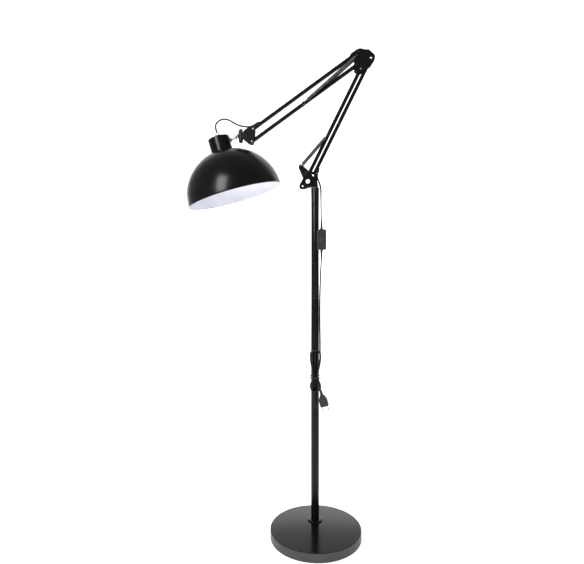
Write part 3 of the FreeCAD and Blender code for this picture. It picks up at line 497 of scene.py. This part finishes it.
over = [mouth(ELBOW_TOP, UPPER, UPPER_OUT), at(125.5, 0, 1518), at(134.5, 0, 1524.6),
        at(145.5, 0, 1525.2), at(156, 0, 1521), at(166.5, 0, 1517), at(176.5, 0, 1512.6),
        at(183.8, 0, 1504.4), at(184.6, 0, 1493.6),
        mouth(ELBOW_REAR, LOWER * -1, LOWER_OUT) + LOWER * 0.4 * MM]
over_split = middle_of(over[3], over[4])
joint_cord("elbow_cord_upper", over[:4] + [over_split])
joint_cord("elbow_cord_lower", [over_split] + over[4:])

down = [mouth(REAR_PIVOT, LOWER, LOWER_OUT), at(5.9, 0, 1133), at(7.4, 0, 1121), at(11.8, 0, 1110.5),
        at(16, 0, 1099.5), at(18.2, 0, 1086), at(18.5, -1, 1062), at(18.4, -5, 1022),
        at(18.7, -15, 990), SWITCH_HEAD + Z * 12 * MM, SWITCH_HEAD]
down_split = middle_of(down[3], down[4])
joint_cord("pole_cord_tilt", down[:4] + [down_split])
pole_line = joint_cord("pole_cord_swivel", [down_split] + down[4:])


def relief_sleeve(name, line, length, wide, thin):
    """Ribbed, tapered strain relief along the first part of a lead's line."""
    part = resampled(first_part(line, length), 0.35 * MM)

    def radius(part_way, along):
        taper = wide + (thin - wide) * part_way
        rib = 0.35 * MM * max(0.0, math.sin(2 * math.pi * along / (2.6 * MM)))
        edge = min(1.0, (1 - part_way) * 12)
        return taper - (rib if 0.12 < part_way < 0.9 else 0.0) - (1 - edge) * 0.5 * MM

    return tube(name, part, radius, sides=32)


sleeve_low = relief_sleeve("switch_relief_low", supply_line, 24 * MM, 4.6 * MM, 3.0 * MM)
dress(sleeve_low, "black_plastic", "stand")
sleeve_high = relief_sleeve("switch_relief_high", pole_line[::-1], 22 * MM, 4.6 * MM, 3.0 * MM)
dress(sleeve_high, "black_plastic", "stand")


def plug_sleeve():
    """Tapered, ribbed tail of the plug."""
    start = PLUG_TOP - PLUG_AXIS * 10 * MM
    profile = [(2.3, 0.0, 0), (3.0, 0.0, 0.3)]
    for k in range(5):
        r = 3.3 + 0.3 * k
        h = 1.6 + 2.9 * k
        profile += [(r, h, 0.3), (r + 0.2, h + 1.6, 0.3), (r - 0.6, h + 1.8, 0.1), (r - 0.55, h + 2.7, 0.1)]
    profile += [(5.0, 17.0, 0.3), (5.5, 24.0, 0.5), (2.3, 24.0, 0)]
    return lathe("plug_relief", rounded(profile, 3), start, PLUG_AXIS, sides=40)


plug_tail = dress(plug_sleeve(), "black_plastic", "stand")


# ---- springs ----
COIL_RADIUS = 3.9 * MM
COIL_WIRE = 0.6 * MM
COIL_PITCH = 1.28 * MM
HOOK_WIRE = 0.65 * MM
SPRING_SIDE = 12.5 * MM
# wider than the pin needs: the coupled joints carry a far hook a little off its pin
FAR_EYE = 4.5 * MM


def coil(name, start, end, node):
    """Close-wound tension spring between two bodies that one slide joins."""
    axis = (end - start).normalized()
    across, up = side_axes(axis)
    turns = (end - start).length / COIL_PITCH
    steps = int(turns * 14)
    points = []
    for k in range(steps + 1):
        angle = 2 * math.pi * turns * k / steps
        ease = min(1.0, k / 10.0, (steps - k) / 10.0)
        reach = COIL_RADIUS * (0.72 + 0.28 * ease)
        points.append(start + axis * ((end - start).length * k / steps)
                      + (across * math.cos(angle) + up * math.sin(angle)) * reach)
    piece = tube(name, points, COIL_WIRE, sides=6)
    piece.data.materials.append(MATERIALS["spring_steel"])
    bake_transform(piece)
    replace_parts(piece, node)


def hook(name, from_point, eye_centre, eye_radius, eye_axis, body, material):
    """Wire hook: out of the coil, then nearly once round the eye."""
    along = (eye_centre - from_point).normalized()
    side = eye_axis.cross(along).normalized()
    points = [from_point - along * 2 * MM + side * 2.0 * MM, from_point + side * 0.8 * MM,
              from_point + along * 2.5 * MM]
    points.append(eye_centre - along * (eye_radius + 2.2 * MM))
    for k in range(31):
        angle = math.radians(-168 + 11.6 * k)
        points.append(eye_centre + (along * math.cos(angle) + side * math.sin(angle)) * eye_radius)
    return dress(tube(name, points, HOOK_WIRE, sides=10), material, body)


def spring_pair(tag, start, end, eye_offset, eye_radius, eye_axis, body_a, body_b, hook_finish):
    """Two springs side by side with a hook at each end."""
    axis = (end - start).normalized()
    for side, label in ((-1, "near"), (1, "far")):
        offset = Y * (side * SPRING_SIDE)
        first = start + offset + axis * 9.5 * MM
        last = end + offset - axis * 16.0 * MM
        coil(f"{tag}_coil_{label}", first, last, tag + "s")
        hook(f"{tag}_hook_{label}", first, start + offset + axis * eye_offset, eye_radius,
             eye_axis, body_a, hook_finish)
        link = hook(f"{tag}_link_{label}", last, end + offset, FAR_EYE, Y, body_b, "spring_steel")
        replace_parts(link, tag + "_links")


def centre_of(node):
    return middle_of(*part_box(node))


lower_axis = Vector(JOINTS["lower_spring_stretch"]["axis"]).normalized()
spring_pair("lower_spring", pivot("lower_spring_swing"), centre_of("lower_spring_pin"), 3.5 * MM,
            3.5 * MM, lower_axis.cross(Y), "lower_springs", "lower_spring_ends", "zinc_steel")
spring_pair("upper_spring", pivot("upper_spring_swing"), centre_of("upper_spring_pin"), 0.0,
            2.9 * MM, Y, "upper_springs", "upper_spring_ends", "spring_steel")

# ---- shade ----
RIM_DEPTH = 191.0
SHADE_RADIUS = 150.0
SHADE_MIDDLE = NECK_TOP + HEAD_AXIS * RIM_DEPTH * MM


def make_shade():
    """Spun dome with vent slots under the neck, white inside, its rim rolled over."""
    rings = 60
    sides = 144
    hole = math.asin(20.2 / SHADE_RADIUS)
    slot_from = math.asin(26.0 / SHADE_RADIUS)
    slot_to = math.asin(29.0 / SHADE_RADIUS)
    angles = [hole, (hole + slot_from) / 2, slot_from, slot_to]
    angles += [slot_to + (math.pi / 2 - slot_to) * k / rings for k in range(1, rings + 1)]
    radius = SHADE_RADIUS - 0.5
    points = [(radius * math.sin(a) * MM, (RIM_DEPTH - radius * math.cos(a)) * MM) for a in angles]

    def in_slot(ring_number, side):
        angle = 360.0 * side / sides % 60.0
        return ring_number == 2 and angle < 34.0

    dome = lathe("shade_dome", points, NECK_TOP, HEAD_AXIS, sides=sides, skip=in_slot, closed=False)
    dome.data.materials.append(MATERIALS["black_enamel"])
    dome.data.materials.append(MATERIALS["white_enamel"])
    outwards = (dome.data.polygons[-1].center - SHADE_MIDDLE).dot(dome.data.polygons[-1].normal) > 0
    wall = dome.modifiers.new("wall", "SOLIDIFY")
    wall.thickness = 1.0 * MM
    wall.offset = 0.0
    if outwards:
        wall.material_offset = 1
    else:
        for face in dome.data.polygons:
            face.material_index = 1
        wall.material_offset = -1
    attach(dome, "head")
    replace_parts(dome, "shade_shell")
    for name, material, first, last in (("shade_rim", "black_enamel", -120, 75),
                                        ("shade_rim_lip", "white_enamel", 75, 250)):
        bead = []
        for k in range(21):
            angle = math.radians(first + (last - first) * k / 20)
            bead.append(((SHADE_RADIUS + 0.2 + 1.7 * math.cos(angle)) * MM, 1.7 * math.sin(angle) * MM))
        rim = lathe(name, bead, SHADE_MIDDLE - HEAD_AXIS * 0.2 * MM, HEAD_AXIS, sides=180, closed=False)
        wall = rim.modifiers.new("wall", "SOLIDIFY")
        wall.thickness = 0.3 * MM
        dress(rim, material, "head")


make_shade()


# ---- turned pieces ----
def turned_piece(name, profile, base, axis, material, body, stands_for=(), sides=96, steps=5, wave=None,
                 finish=None):
    piece = lathe(name, rounded(profile, steps), base, axis, sides=sides, wave=wave)
    piece.data.materials.append(MATERIALS[finish or material])
    sharpen(piece)
    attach(piece, body)
    if stands_for:
        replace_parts(piece, *stands_for)
    return piece


def sharpen(piece, angle=32):
    piece.data.shade_smooth()
    piece.data.set_sharp_from_angle(angle=math.radians(angle))


def make_base():
    """Pressed cover; its side gets a rougher, lighter grey than its top, painted light that stands in for the
    floor's light reflected in the side.
    """
    sheet = 1.2
    inner = BASE_RADIUS - sheet
    under = BASE_HEIGHT - sheet
    profile = [(BASE_RADIUS, 1, 0.4), (BASE_RADIUS, BASE_HEIGHT, 1.3), (0, BASE_HEIGHT, 0), (0, under, 0),
               (inner, under, 0.6), (inner, 1, 0)]
    shell = turned_piece("base_shell", profile, BASE_MIDDLE, Z, "black_enamel", "stand", ["base_cover"],
                         sides=180, steps=8, finish="base_enamel")
    shell.data.materials.append(MATERIALS["painted_floor_light_enamel"])
    # painted light: the base's side faces take the lighter grey that stands in for reflected floor light
    for face in shell.data.polygons:
        if abs(face.normal.z) < 0.7 and face.center.z < (under + 0.1) * MM:
            face.material_index = 1


def make_pole():
    """Three equal tubes, one above the other."""
    low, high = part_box("pole_tubes")
    count = 3
    length = (high.z - low.z) / count / MM
    bore = POLE_RADIUS - 1.2
    profile = [(bore, 0, 0), (POLE_RADIUS, 0, 0.5), (POLE_RADIUS, length, 0.5), (bore, length, 0)]
    for k in range(count):
        base = Z * (low.z + k * length * MM)
        turned_piece(f"pole_tube_{k}", profile, base, Z, "black_enamel", "stand", ["pole_tubes"], sides=72)


def make_neck():
    """Neck housing, which ends on the dome, and the gland in its top."""
    r = NECK_RADIUS
    meet = RIM_DEPTH - math.sqrt(SHADE_RADIUS ** 2 - r ** 2)
    turned_piece("neck_cup", [(5.2, -6, 0.4), (r, 0, 2.5), (r, meet + 0.3, 0.3), (r - 1.2, meet + 0.3, 0),
                              (r - 1.2, 1.2, 1.4), (5.2, -4.8, 0)], NECK_TOP, HEAD_AXIS, "black_enamel",
                 "head", ["neck_housing"], sides=120, steps=8)
    hexes = 6

    def flats(r, h, angle):
        """Six flats on the gland's collar."""
        if r < 6.5 * MM:
            return r
        turn = (angle + math.pi / hexes) % (2 * math.pi / hexes) - math.pi / hexes
        return min(r, 6.9 * MM / math.cos(turn))

    turned_piece("gland_body", [(2.5, -17, 0.2), (3.9, -17, 0.8), (4.7, -13.2, 0.3), (4.7, -11.6, 0.2),
                                (8, -11.2, 0.7), (8, -7.2, 0.5), (5.0, -6.1, 0), (5, 2.8, 0.5),
                                (2.5, 2.8, 0)],
                 NECK_TOP, HEAD_AXIS, "chromed_steel", "head", ["cord_gland"], sides=96, wave=flats)


def make_holder():
    """Lamp holder with a fluted body and a knurled ring."""
    def flutes(r, h, angle):
        on_grip = 21 * MM < h < 40 * MM and r > 19 * MM
        return r - (0.25 * MM * max(0, math.cos(36 * angle)) if on_grip else 0)

    def knurl(r, h, angle):
        return r - (0.5 * MM * max(0, math.cos(24 * angle)) if r > 23 * MM else 0)

    turned_piece("holder_shell", [(0, 3, 0), (20, 3, 2), (20, 18, 0.4), (19.5, 18.6, 0.2),
                                  (19.5, 19.6, 0.2), (20, 20.2, 0.4), (20, 53, 1.5), (15.6, 53, 0.6),
                                  (15.6, 26, 0.3), (0, 26, 0)],
                 NECK_TOP, HEAD_AXIS, "black_plastic", "head", ["holder_body"], sides=96, wave=flutes)
    turned_piece("holder_clamp_ring", [(20.15, 43, 0.3), (24.6, 43, 0.6), (24.9, 46, 1.0), (24.6, 51, 0.8),
                                       (20.15, 51, 0.3)], NECK_TOP, HEAD_AXIS, "black_plastic", "head",
                 ["holder_ring"], sides=144, wave=knurl)


def make_bulb():
    """Screw cap with its thread, and a round frosted globe on a short neck."""
    rings = 90
    thread = [(12.9 * MM, (34 + 20 * k / rings) * MM) for k in range(rings + 1)]
    points = [(0, 28 * MM), (4 * MM, 28.2 * MM), (5 * MM, 30 * MM), (9.5 * MM, 32 * MM)] + thread
    points += [(13.4 * MM, 55 * MM), (13.4 * MM, 56 * MM), (0, 56 * MM)]

    def screw(r, h, angle):
        if not 34 * MM <= h <= 54 * MM:
            return r
        return r - 0.45 * MM * math.cos(2 * math.pi * (h / (3.6 * MM)) - angle)

    cap = lathe("bulb_screw_cap", points, NECK_TOP, HEAD_AXIS, sides=64, wave=screw)
    sharpen(cap, 50)
    dress(cap, "aluminium", "head", ["bulb_cap"])
    ball = 30.0
    middle = 107.0
    join = math.radians(38)
    globe = [(0, 56)]
    for k in range(9):
        t = k / 8
        ease = t * t * (3 - 2 * t)
        globe.append((14 + (ball * math.sin(join) - 14) * ease,
                      56 + (middle - ball * math.cos(join) - 56) * t))
    for k in range(1, 41):
        angle = join + (math.pi - join) * k / 40
        globe.append((ball * math.sin(angle), middle - ball * math.cos(angle)))
    globe[-1] = (0, middle + ball)
    glass = lathe("bulb_glass", [(r * MM, h * MM) for r, h in globe], NECK_TOP, HEAD_AXIS, sides=96)
    dress(glass, "frosted_glass", "head", ["bulb_globe"])


def make_knob():
    """Ten-lobed clamp knob with a dished face."""
    low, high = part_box("clamp_knob")
    centre = Vector((high.x, (low.y + high.y) / 2, (low.z + high.z) / 2))
    thick = (high.x - low.x) / MM
    rim = thick + 2.2
    profile = [(5.1, 0, 0.3), (12, 0, 1.2), (22, 2.8, 1.8), (22, 10.6, 1.8), (18, rim - 1.0, 1.2),
               (12, rim, 0.8), (9.8, thick - 0.2, 0.4), (5.1, thick - 0.2, 0.2)]

    def lobes(r, h, angle):
        if r < 13 * MM:
            return r
        depth = (r / MM - 13) / 9
        return r - 1.9 * MM * depth * max(0.0, math.cos(10 * angle)) ** 2

    turned_piece("clamp_knob_grip", profile, centre, X * -1, "gloss_plastic", "clamp_knob",
                 ["clamp_knob"], sides=200, steps=5, wave=lobes)


def make_rod():
    """Chrome rod from the neck, round a bend and through the clamp to a rounded end."""
    bend = 9.0 * MM
    tail = 30.0
    axis_point = NECK_TOP + HEAD_AXIS * ROD_DEPTH
    corner = axis_point + HEAD_SIDE * ROD_REACH
    route = [axis_point + HEAD_SIDE * 25 * MM, corner - HEAD_SIDE * bend]
    centre = corner - HEAD_SIDE * bend - Y * bend
    for k in range(1, 16):
        angle = math.pi / 2 * k / 16
        route.append(centre + HEAD_SIDE * bend * math.sin(angle) + Y * bend * math.cos(angle))
    route += [corner - Y * bend, corner - Y * (tail - 3.5) * MM, corner - Y * tail * MM]

    length = line_length(route)
    for back in (2.4, 1.6, 0.9, 0.35):
        route.insert(-1, corner - Y * (tail - back) * MM)

    def radius(part_way, along):
        left = max(0.0, length - along) / (3.2 * MM)
        return ROD_RADIUS * math.sqrt(1 - (1 - min(1.0, left)) ** 2 * 0.94)

    rod = tube("head_rod_bar", route, radius, sides=40)
    sharpen(rod, 40)
    dress(rod, "chromed_steel", "head", ["head_rod"])


make_base()
make_pole()
make_neck()
make_holder()
make_bulb()
make_knob()
make_rod()


# ---- tie round the hank and the pole ----
def make_tie():
    """Flat band with rounded corners, and its two ends twisted together."""
    height = 504.0
    level = at(0, 0, height).z
    half = 14.8
    front = -34.4
    back = 13.4
    corner = 8.0
    line = []
    for cx, cy, start in ((half - corner, front + corner, -90), (half - corner, back - corner, 0),
                          (-half + corner, back - corner, 90), (-half + corner, front + corner, 180)):
        for k in range(9):
            angle = math.radians(start + 90 * k / 8)
            lift = 0.5 * math.sin(angle * 2)
            line.append(at(cx + corner * math.cos(angle), cy + corner * math.sin(angle), height + lift))
    line.append(line[0].copy())
    band = tube("tie_band", line, 0.85 * MM, sides=10, caps=False)
    for v in band.data.vertices:
        v.co.z = level + (v.co.z - level) * 2.0
    dress(band, "black_plastic", "stand", ["twist_tie"])
    root = at(-15.0, -24.0, height)
    tip = at(-19.2, -29.0, height - 11)
    for number in range(2):
        twist = []
        for k in range(41):
            t = k / 40
            spin = math.pi * 2 * 3 * t + math.pi * number
            base = root + (tip - root) * t
            twist.append(base + (X * math.cos(spin) + Z * math.sin(spin) * 0.4) * 0.75 * MM)
        dress(tube(f"tie_end_{number}", twist, 0.65 * MM, sides=8), "black_plastic", "stand")


make_tie()


# ---- rivets ----
def rivet(name, place, inner_face, material, body):
    """Shoulder rivet with domed, flanged heads, in the material it is given; some are given the plates' black
    enamel.
    """
    face = inner_face + 1.5
    profile = [(0, -face - 1.95, 0), (1.3, -face - 1.9, 0.3), (2.8, -face - 1.35, 1.2),
               (3.7, -face - 0.5, 0.4), (3.7, -face, 0), (2.5, -face, 0), (2.5, -inner_face, 0),
               (4.6, -inner_face, 0.2), (4.6, -5.7, 0.2), (2.45, -5.6, 0)]
    profile += [(r, -h, rounding) for r, h, rounding in profile[::-1]]
    return turned_piece(name, profile, Vector((place.x, 0, place.z)), Y, material, body, sides=48, steps=4)


def make_rivets():
    plates = (("bracket_rivet_rear", "lower_arm_tilt", 8.2, "chromed_steel", "swivel", "bracket_rivets"),
              ("bracket_rivet_front", "lower_front_tilt", 8.2, "chromed_steel", "swivel", "bracket_rivets"),
              ("elbow_rivet_rear", "elbow_level", 6.2, "chromed_steel", "elbow", "elbow_rivets"),
              ("elbow_rivet_top", "upper_arm_tilt", 6.2, "black_enamel", "elbow", "elbow_rivets"),
              ("elbow_rivet_bottom", "upper_bottom_tilt", 6.2, "black_enamel", "elbow", "elbow_rivets"),
              ("head_rivet_top", "head_level", 9.5, "chromed_steel", "head_bracket", "head_rivets"))
    for name, joint, inner_face, material, body, node in plates:
        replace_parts(rivet(name, pivot(joint), inner_face, material, body), node)
    elbow_front = pivot("lower_front_tilt") + LOWER * ARM
    rivet("elbow_rivet_front", elbow_front, 6.2, "spring_steel", "elbow")
    head_bottom = pivot("upper_bottom_tilt") + UPPER * ARM
    rivet("head_rivet_bottom", head_bottom, 9.5, "chromed_steel", "head_bracket")


make_rivets()


# ---- switch details ----
def make_switch_details():
    """Ridges on the rocker and two recessed screws in the back."""
    low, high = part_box("switch_rocker")
    for k in range(5):
        z = high.z - (3.2 + 2.0 * k) * MM
        depth = low.y + (0.55 + 0.55 * k) * MM
        line = [Vector((low.x + 1.6 * MM, depth, z)), Vector((low.x + 2.2 * MM, depth - 0.3 * MM, z)),
                Vector((high.x - 2.2 * MM, depth - 0.3 * MM, z)), Vector((high.x - 1.6 * MM, depth, z))]
        dress(tube(f"rocker_ridge_{k}", line, 0.45 * MM, sides=8), "gloss_plastic", "switch_rocker")

    def cross(r, h, angle):
        return r * (0.55 + 0.45 * abs(math.cos(2 * angle))) if r < 1.3 * MM and h > 0 else r

    screws_low, screws_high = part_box("switch_screws")
    for number, (x, z) in enumerate(((screws_low.x + 1.4 * MM, screws_low.z + 1.4 * MM),
                                     (screws_high.x - 1.4 * MM, screws_high.z - 1.4 * MM))):
        turned_piece(f"switch_screw_{number}", [(0, -6, 0), (1.4, -6, 0.1), (1.4, -0.4, 0), (2.3, -0.3, 0.2),
                                                (2.1, 0.7, 0.4), (1.2, 0.9, 0.1), (0.9, 0.1, 0), (0, 0.1, 0)],
                     Vector((x, screws_high.y, z)), Y, "zinc_steel", "stand", ["switch_screws"],
                     sides=48, wave=cross)


make_switch_details()

# ---- CAD nodes that stay ----
FINISH_BY_NODE = {"elbow_spring_pin": "black_enamel", "lower_spring_pin": "black_enamel",
           "upper_spring_pin": "black_enamel", "horn_bolts": "bright_zinc"}
EDGES = {
    "arm_bracket": 0.35, "spring_horns": 0.35, "elbow_plates": 0.35, "head_bracket": 0.35,
    "horn_bolts": 0.25, "rod_fixings": 0.25, "base_fixings": 0.3, "switch_shells": 0.15,
    "switch_rocker": 0.25, "plug_body": 0.25, "plug_pins": 0.15, "lower_arm_grommets": 0.3,
    "upper_arm_grommets": 0.3, "base_pad": 0.5, "clamp_washers": 0.2, "swivel_bolt": 0.3,
}
for node_name, cad in NODES.items():
    if cad.hide_render:
        continue
    slot_name = next(part["material_slot"] for part in frame["record"]["subparts"]
                     if part["node"] == node_name)
    cad.data.materials.clear()
    cad.data.materials.append(MATERIALS[FINISH_BY_NODE.get(node_name, slot_name)])
    if node_name in EDGES:
        soften(cad, EDGES[node_name] * MM)


# ---- studio ----
def studio_finish(name, value, glow):
    material = bpy.data.materials.new(name)
    material.use_nodes = True
    tree = material.node_tree
    shader = tree.nodes["Principled BSDF"]
    noise = add_node(tree, "ShaderNodeTexNoise")
    noise.inputs["Scale"].default_value = 6.0
    ramp = add_node(tree, "ShaderNodeValToRGB")
    ramp.color_ramp.elements[0].color = (value - 0.02, value - 0.02, value - 0.02, 1)
    ramp.color_ramp.elements[1].color = (value, value, value, 1)
    tree.links.new(noise.outputs["Fac"], ramp.inputs["Fac"])
    tree.links.new(ramp.outputs["Color"], shader.inputs["Base Color"])
    shader.inputs["Roughness"].default_value = 0.9
    shader.inputs["Specular IOR Level"].default_value = 0.1
    shader.inputs["Emission Color"].default_value = (1, 1, 1, 1)
    # the glow is strongest low on the wall and stops at the sides of the set
    where = add_node(tree, "ShaderNodeTexCoord")
    split = add_node(tree, "ShaderNodeSeparateXYZ")
    tree.links.new(where.outputs["Object"], split.inputs["Vector"])
    level = add_node(tree, "ShaderNodeMath", operation="MULTIPLY")
    level.inputs[1].default_value = 0.5
    tree.links.new(split.outputs["Z"], level.inputs[0])
    band_node = add_node(tree, "ShaderNodeValToRGB")
    band = band_node.color_ramp
    band.elements[0].position = 0.10
    band.elements[0].color = (0.34, 0.34, 0.34, 1)
    band.elements[1].position = 0.71
    band.elements[1].color = (0.31, 0.31, 0.31, 1)
    for place in (0.32, 0.655):
        band.elements.new(place).color = (1, 1, 1, 1)
    tree.links.new(level.outputs["Value"], band_node.inputs["Fac"])
    aside = add_node(tree, "ShaderNodeMath", operation="ABSOLUTE")
    tree.links.new(split.outputs["X"], aside.inputs[0])
    fade = add_node(tree, "ShaderNodeMapRange")
    fade.inputs["From Min"].default_value = 2.55
    fade.inputs["From Max"].default_value = 2.95
    fade.inputs["To Min"].default_value = glow
    fade.inputs["To Max"].default_value = 0.15
    tree.links.new(aside.outputs["Value"], fade.inputs["Value"])
    strength = add_node(tree, "ShaderNodeMath", operation="MULTIPLY")
    tree.links.new(band_node.outputs["Color"], strength.inputs[0])
    tree.links.new(fade.outputs["Result"], strength.inputs[1])
    tree.links.new(strength.outputs["Value"], shader.inputs["Emission Strength"])
    return material


def make_studio():
    """Pale floor that curves up into a white wall behind the lamp."""
    front = -6.0
    wall_y = 2.6
    bend = 0.9
    height = 5.0
    path = [(front, 0.0), (-2.0, 0.0), (-0.5, 0.0), (0.5, 0.0)]
    for k in range(13):
        angle = math.radians(90 * k / 12)
        path.append((wall_y - bend + bend * math.sin(angle), bend - bend * math.cos(angle)))
    path.append((wall_y, height))
    verts = []
    for x in (-6.0, 6.0):
        verts += [Vector((x, y, z)) for y, z in path]
    count = len(path)
    faces = [(k, k + 1, count + k + 1, count + k) for k in range(count - 1)]
    floor = new_object("studio_floor", verts, faces)
    floor.data.materials.append(studio_finish("studio_white", 0.88, 2.1))


def softbox(name, place, target, width, height, power):
    light = bpy.data.lights.new(name, "AREA")
    light.shape = "RECTANGLE"
    light.size = width
    light.size_y = height
    light.energy = power
    lamp = bpy.data.objects.new(name, light)
    lamp.location = place
    lamp.rotation_euler = (Vector(target) - Vector(place)).to_track_quat("-Z", "Y").to_euler()
    bpy.context.scene.collection.objects.link(lamp)


make_studio()
softbox("key", (-1.20, -1.95, 1.873), (-0.29, -0.12, 1.083), 0.80, 1.45, 76)
softbox("fill", (2.6, -2.0, 1.6), (0, 0, 0.9), 0.5, 1.2, 5)
world = bpy.data.worlds.new("studio_air")
world.use_nodes = True
air = world.node_tree
air.nodes["Background"].inputs["Color"].default_value = (1, 1, 1, 1)
direction = add_node(air, "ShaderNodeTexCoord")
split = add_node(air, "ShaderNodeSeparateXYZ")
air.links.new(direction.outputs["Generated"], split.inputs["Vector"])
depth = add_node(air, "ShaderNodeMapRange")
depth.inputs["From Min"].default_value = -0.35
depth.inputs["From Max"].default_value = 0.35
depth.inputs["To Min"].default_value = 0.24
depth.inputs["To Max"].default_value = 0.46
air.links.new(split.outputs["Y"], depth.inputs["Value"])
air.links.new(depth.outputs["Result"], air.nodes["Background"].inputs["Strength"])
bpy.context.scene.world = world
bpy.context.scene.view_settings.view_transform = "Standard"
